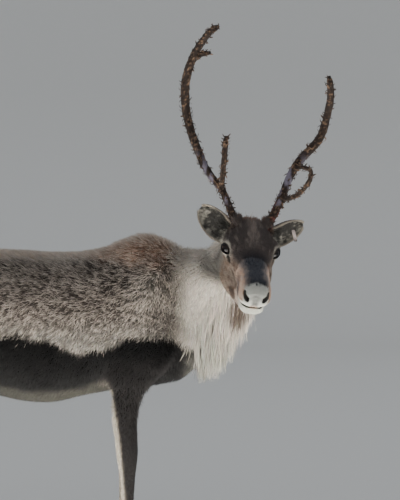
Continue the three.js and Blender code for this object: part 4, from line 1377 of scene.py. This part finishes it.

# %% [markdown]
# ## Antlers
# The antlers are still in velvet that has begun to tear. A tube follows each branch, its radius
# roughened by noise, and ragged shreds and a fine fuzz catch the light along its edges. A bluish-grey
# sheen is painted on the velvet of the lower beams.

# %% Antler branches
# Each row is x, y and z from the antler's base, and the radius
RIGHT_BASE = from_head(np.array([[-80.0, -54.0, 50.0]]))[0]
LEFT_BASE = from_head(np.array([[-80.0, 54.0, 50.0]]))[0]
RIGHT_BEAM = [
    (5, -8, -34, 14),
    (-1, 0, 4, 12.5),
    (-18, 12, 52, 11),
    (-37, 25, 95, 11),
    (-82, 45, 157, 11.5),
    (-109, 62, 215, 13),
    (-133, 70, 280, 13.5),
    (-150, 64, 355, 13.5),
    (-149, 30, 437, 14),
    (-121, -28, 512, 12),
    (-78, -92, 567, 10),
    (-50, -120, 583, 7),
]
RIGHT_BROW = [
    (-40, 28, 88, 7),
    (-38, 8, 112, 8.5),
    (-34, -28, 158, 8.5),
    (-29, -50, 216, 9),
    (-25, -55, 258, 6),
]
RIGHT_TOP = [(-124, -20, 503, 7), (-108, -36, 508, 8), (-92, -50, 509, 8), (-74, -64, 510, 6)]
LEFT_BEAM = [
    (-6, -8, -34, 14.5),
    (2, 0, 4, 13.5),
    (24, 12, 46, 12.5),
    (42, 22, 85, 12.5),
    (70, 46, 154, 12.5),
    (101, 60, 202, 13),
    (137, 68, 240, 13.5),
    (168, 65, 281, 13),
    (184, 42, 340, 12),
    (191, -8, 396, 11.5),
    (182, -60, 450, 8.5),
]
LEFT_BROW = [
    (38, 20, 82, 7),
    (52, -6, 80, 8),
    (72, -45, 82, 7),
    (96, -82, 98, 7),
    (117, -115, 128, 7.5),
    (120, -134, 158, 7),
    (98, -141, 169, 6),
    (70, -141, 165, 5),
]
VELVET_DARK = shade(46, 37, 32)
VELVET_TAN = shade(150, 120, 96)
# painted sheen: the bluish-grey of the velvet's sheen on the lower beams
VELVET_SHEEN = shade(118, 112, 124)
RAW_RED = shade(96, 48, 46)


def branch_surface(rows, base, count, sides):
    """Points round a path, pushed in and out by noise that follows the surface."""
    table = smooth_rows(rows, count)
    centre = table[:, :3] + base
    heading = unit(np.gradient(centre, axis=0))
    side = unit(np.cross(heading, (0.3, 1.0, 0.2)))
    up = np.cross(heading, side)
    angle = np.linspace(0, 2 * np.pi, sides, endpoint=False)
    around = side[:, None] * np.cos(angle)[:, None] + up[:, None] * np.sin(angle)[:, None]
    centre = centre[:, None] * np.ones((1, sides, 1))
    bare = centre + around * table[:, 3][:, None, None]
    rough = 1.3 * noise(bare.reshape(-1, 3), 9, 9) + 1.1 * noise(bare.reshape(-1, 3), 4, 10)
    end = 1 - 0.35 * ramp(np.linspace(0, 1, count), 0.97, 1.0)
    push = (table[:, 3][:, None] * end[:, None] + rough.reshape(count, sides) - 0.4)[:, :, None]
    return centre + around * push, around


def velvet_colors(p, sheen_band):
    """Dark velvet flecked with tan, with a painted bluish-grey sheen where sheen_band is high."""
    c = np.tile(VELVET_DARK, (len(p), 1))
    c = lay(c, VELVET_TAN, ramp(noise(p, 6, 12) + 0.5 * noise(p, 2.5, 13), 0.35, 0.8) * 0.7)
    # painted sheen: bluish-grey patches on the velvet of the lower beams
    wear_and_sheen = sheen_band * ramp(noise(p * (1, 1, 0.35), 11, 14) + 0.15, 0.05, 0.3)
    return lay(c, VELVET_SHEEN, wear_and_sheen)


velvet = painted("torn velvet", 0.8, 0.05, 500, 0.8)
# Each branch's name, rows, base, numbers of rings and of sides, and the solids it stands for
BRANCHES = [
    ("antler_right", RIGHT_BEAM, RIGHT_BASE, 190, 22, ("lower_beam", "upper_beam")),
    ("antler_right_brow", RIGHT_BROW, RIGHT_BASE, 70, 18, ("brow_tine",)),
    ("antler_right_top", RIGHT_TOP, RIGHT_BASE, 30, 16, ("top_tine",)),
    ("antler_left", LEFT_BEAM, LEFT_BASE, 170, 22, ("lower_beam", "upper_beam")),
    ("antler_left_brow", LEFT_BROW, LEFT_BASE, 90, 18, ("brow_tine",)),
]
fuzz = []
for name, rows, base, count, sides, parts in BRANCHES:
    side_name = "_".join(name.split("_")[:2])
    nodes = [f"{side_name}_{part}" for part in parts]
    rings, around = branch_surface(rows, base, count, sides)
    verts, faces = loft(rings)
    height = verts[:, 2] - base[2]
    # the band of the lower main beams that gets the painted sheen
    sheen_band = ramp(height, 240, 150) * ramp(height, 40, 70) * (name == side_name)
    c = velvet_colors(verts, sheen_band)
    if name == "antler_left":
        c = lay(c, RAW_RED, ramp(height, 90, 60) * ramp(noise(verts, 14, 15), -0.1, 0.4) * 0.8)
    place(make_mesh(name + "_velvet", verts, faces, c), velvet, "velvet", *nodes)
    print(name, len(faces), "triangles")
    number = int(count * sides * 0.9 * quick_share)
    i, k = rng.integers(2, count - 1, number), rng.integers(0, sides, number)
    fuzz.append((rings[i, k], around[i, k], unit(rings[i, k] - rings[i - 1, k])))

roots, normals, along = (np.vstack(a) for a in zip(*fuzz))
along = combed(normals, along, 0.5)
length = rng.uniform(2.0, 4.0, len(roots))
base = velvet_colors(roots, np.zeros(len(roots)))
tip = lay(vary(base, 0.3), VELVET_TAN, (rng.random(len(roots)) < 0.35) * 0.8)
unwrap = spread(roots[:, 2], roots[:, 1] + 100, roots[:, 0] - 390)
made = darts(roots, normals, along, length, 1.1, 0.5, base, tip, unwrap)
place_hair("velvet_fuzz", made, velvet, "velvet")

# Ragged shreds of velvet that lie along the beams and lift a little at their ends
shreds = 700
pick = rng.choice(len(roots), shreds, replace=False)
hang = unit(along[pick] * rng.choice([-1, 1], (shreds, 1)) + 0.1 * normals[pick])
base = velvet_colors(roots[pick], np.zeros(shreds))
size = rng.uniform(0.6, 1.2, shreds)
start = roots[pick] + normals[pick] * 2.5
out = normals[pick] * 0.25
tip = lay(base, VELVET_TAN, np.full(shreds, 0.5))
made = locks(start, out, hang, 11 * size, 5 * size, 2.4 * size, base, tip, unwrap[pick])
place_hair("velvet_flakes", made, velvet, "velvet")

# %% [markdown]
# ## Hooves
# A reindeer stands on two broad half-moon claws with a cleft between them, and two dewclaws reach
# down behind. Horn grows from the coronet, so fine rings run round each claw.

# %% Hooves and dewclaws
CLAW_LENGTH = 84
CLAW_WIDTH = 40
CLAW_HEIGHT = 46
CLEFT = 7
HORN = shade(38, 34, 33)
HORN_PALE = shade(104, 94, 84)


def claw(centre_x, centre_y, hand, size):
    """Rings of a half-moon sole, drawn in and back towards the coronet."""
    z = np.concatenate([[0, 0.6, 2, 4], np.linspace(6, CLAW_HEIGHT * size, 22)])
    scale = np.interp(z, [0, 1.2, 4, 22, CLAW_HEIGHT * size], [0.94, 0.985, 1.0, 0.93, 0.66])
    scale = scale + 0.006 * np.sin(z * 1.35) * (z > 5)
    angle = np.linspace(0, 2 * np.pi, 40, endpoint=False)
    c, s = np.cos(angle), np.sin(angle)
    toe = np.where(c > 0, 1.12 - 0.3 * np.abs(s), 0.86)
    bulge = np.where(s > 0, 0.72, 0.28)
    x = centre_x + CLAW_LENGTH / 2 * size * (c * toe) * scale[:, None] - 0.42 * z[:, None]
    y = CLAW_WIDTH * size * s * bulge * (1 - 0.22 * np.maximum(0, c)) * (0.5 + scale[:, None] / 2)
    y = centre_y + hand * (y + CLAW_WIDTH * size * 0.28 + CLEFT / 2)
    return loft(np.stack([x, y, z[:, None] + 0 * x], axis=-1))


def dewclaw(x, y, hand):
    """A small blunt horn behind the pastern."""
    rows = [
        (x - 10, y + hand * 12, 82, 9.1, 7.8),
        (x - 30, y + hand * 18, 62, 13, 11),
        (x - 46, y + hand * 20, 41, 13, 11),
        (x - 49, y + hand * 22, 16, 7.1, 6.5),
    ]
    table = smooth_rows(rows, 24)
    angle = np.linspace(0, 2 * np.pi, 20, endpoint=False)
    close = np.sqrt(ramp(np.linspace(0, 1, 24), 1.02, 0.9))[:, None]
    px = table[:, :1] + table[:, 3:4] * np.cos(angle) * close
    py = table[:, 1:2] + table[:, 4:5] * np.sin(angle) * close
    return loft(np.stack([px, py, table[:, 2:3] + 0 * px + 0.35 * (px - table[:, :1])], axis=-1))


horn = painted("hoof horn", 0.42, 0.0, 350, 0.25)
for name, rows in LEGS.items():
    x, y = rows[-1][:2]
    size = 1 if "fore" in name else 0.93
    for label, hand in (("right", -1), ("left", 1)):
        verts, faces = claw(x + 16, y, hand, size)
        wear_and_sheen = ramp(noise(verts, 14, 16), 0, 0.8) * 0.5 + 0.5 * ramp(verts[:, 2], 6, 0)
        c = lay(np.tile(HORN, (len(verts), 1)), HORN_PALE, wear_and_sheen)
        piece = make_mesh(f"claw_{name}_{label}", verts, faces, c)
        place(piece, horn, "hoof", f"hoof_{name}_{label}")
        verts, faces = dewclaw(x, y, hand)
        piece = make_mesh(f"spur_{name}_{label}", verts, faces, np.tile(HORN, (len(verts), 1)))
        place(piece, horn, "hoof", f"dewclaw_{name}_{label}")
    print("foot", name, "stands at x, y:", round(x), round(y), "mm")

# %% [markdown]
# ## Ear tag
# A narrow blank strip hangs from a button near the lower edge of the left ear.

# %% Ear tag
STRIP_HALF_WIDTH = 5.2
STRIP_HALF_THICK = 1.1
STRIP_HALF_HEIGHT = 19
STRIP_LEAN = np.radians(14)
BUTTON_AT = np.array([529, -102, 1036.0])
# The button's radii, and how deep each of its rings lies
BUTTON = [(0.5, -3.4), (4.6, -3.2), (4.9, -2.4), (4.4, -1.4), (3.0, 8.0)]


def squarish(value):
    """A cosine or sine pushed out towards the side of a square."""
    return np.sign(value) * np.abs(value) ** 0.35


low, high = (np.array(a) * 1000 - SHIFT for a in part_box("ear_tag"))
angle = np.linspace(0, 2 * np.pi, 40, endpoint=False)
tag_at = (low + high) / 2
rings = []
for depth, inset in ((-1, 0.9), (-0.8, 1), (0.8, 1), (1, 0.9)):
    px = squarish(np.cos(angle)) * STRIP_HALF_WIDTH * inset
    pz = squarish(np.sin(angle)) * STRIP_HALF_HEIGHT * (1 - 0.1 * (1 - inset))
    turned_x = px * np.cos(STRIP_LEAN) - pz * np.sin(STRIP_LEAN)
    turned_z = px * np.sin(STRIP_LEAN) + pz * np.cos(STRIP_LEAN)
    ring = np.stack([turned_x, depth * STRIP_HALF_THICK + 0 * px, turned_z], axis=1)
    rings.append(ring + (tag_at[0], low[1] + 4.5, tag_at[2]))
verts, faces = loft(np.array(rings))
c = np.tile(shade(186, 172, 166), (len(verts), 1))
c = lay(c, shade(40, 36, 36), ramp(verts[:, 2], tag_at[2] - 12, tag_at[2] - 15))
tag_plastic = painted("tag plastic", 0.35, 0.0)
place(make_mesh("tag_strip", verts, faces, c), tag_plastic, "tag", "ear_tag")

radii, depths = np.array(BUTTON).T[:, :, None]
rings = np.stack([np.cos(angle) * radii, np.ones(40) * depths, np.sin(angle) * radii], axis=-1)
verts, faces = loft(rings + BUTTON_AT)
c = np.tile(shade(44, 40, 40), (len(verts), 1))
place(make_mesh("tag_button", verts, faces, c), tag_plastic, "tag")
print("ear tag at, mm:", tag_at.round())

# %% [markdown]
# ## Studio
# A pale floor that sweeps up behind, a wide soft key from the upper left, a weaker fill from the
# right, a lamp behind that draws a light edge, and an even pale sky. The camera stands five metres off
# at the height of the photo's middle.


# %% Floor, light and camera
def studio_floor():
    """A sheet that runs back and then curves up into a wall."""
    s = np.linspace(0, 1, 60)
    bend = np.clip((s - 0.6) / 0.2, 0, 1) * np.pi / 2
    run = np.where(s < 0.6, -9 + 20 * s / 0.6, 11 + 3 * np.sin(bend))
    rise = np.where(s < 0.6, 0, 3 * (1 - np.cos(bend)) + np.maximum(0, s - 0.8) * 40)
    x = np.array([-16.0, 16.0])
    verts = np.stack(np.broadcast_arrays(x[None, :], run[:, None], rise[:, None]), axis=-1).reshape(-1, 3)
    return verts * 1000 - SHIFT, grid_faces(60, 2, wrap=False)[:, ::-1]


floor_verts, floor_faces = studio_floor()
floor = make_mesh("studio floor", floor_verts, floor_faces)
floor_paint = bpy.data.materials.new("pale floor")
floor_paint.use_nodes = True
floor_shader = floor_paint.node_tree.nodes["Principled BSDF"]
floor_shader.inputs["Base Color"].default_value = (0.62, 0.62, 0.6, 1)
floor_shader.inputs["Roughness"].default_value = 0.9
floor.data.materials.append(floor_paint)

world = bpy.data.worlds.new("soft sky")
world.use_nodes = True
sky = world.node_tree.nodes["Background"]
sky.inputs["Color"].default_value = (0.86, 0.89, 0.94, 1)
sky.inputs["Strength"].default_value = 0.75
bpy.context.scene.world = world


def soft_light(name, at, aim, size, power, color):
    """A square lamp at a place, turned to face another."""
    data = bpy.data.lights.new(name, "AREA")
    data.size = size
    data.energy = power
    data.color = color
    lamp = bpy.data.objects.new(name, data)
    bpy.context.collection.objects.link(lamp)
    toward = unit(np.array(aim, float) - np.array(at, float))
    side = unit(np.cross(toward, (0, 0, 1)))
    up = np.cross(side, toward)
    basis = np.eye(4)
    basis[:3, :3] = np.stack([side, up, -toward], axis=1)
    basis[:3, 3] = at
    lamp.matrix_world = basis.tolist()


soft_light("key", (-2.4, -3.2, 4.2), (0.2, 0, 0.8), 2.6, 210, (1, 0.98, 0.95))
soft_light("fill", (4.2, -3.0, 2.0), (0.2, 0, 0.9), 3.0, 60, (0.94, 0.97, 1))
soft_light("rim", (0.5, 3.6, 3.6), (0.3, 0, 1.0), 2.4, 170, (1, 0.97, 0.94))

CAMERA_AT = np.array([237, -5000, 976])
camera_data = bpy.data.cameras.new("camera")
camera_data.sensor_width = 36
camera_data.lens = 112.5
camera_data.clip_end = 60
camera = bpy.data.objects.new("camera", camera_data)
bpy.context.collection.objects.link(camera)
camera.location = tuple((CAMERA_AT + SHIFT) * 0.001)
camera.rotation_euler = (np.pi / 2, 0, 0)
bpy.context.scene.camera = camera
print("camera at, metres:", tuple(round(c, 3) for c in camera.location))
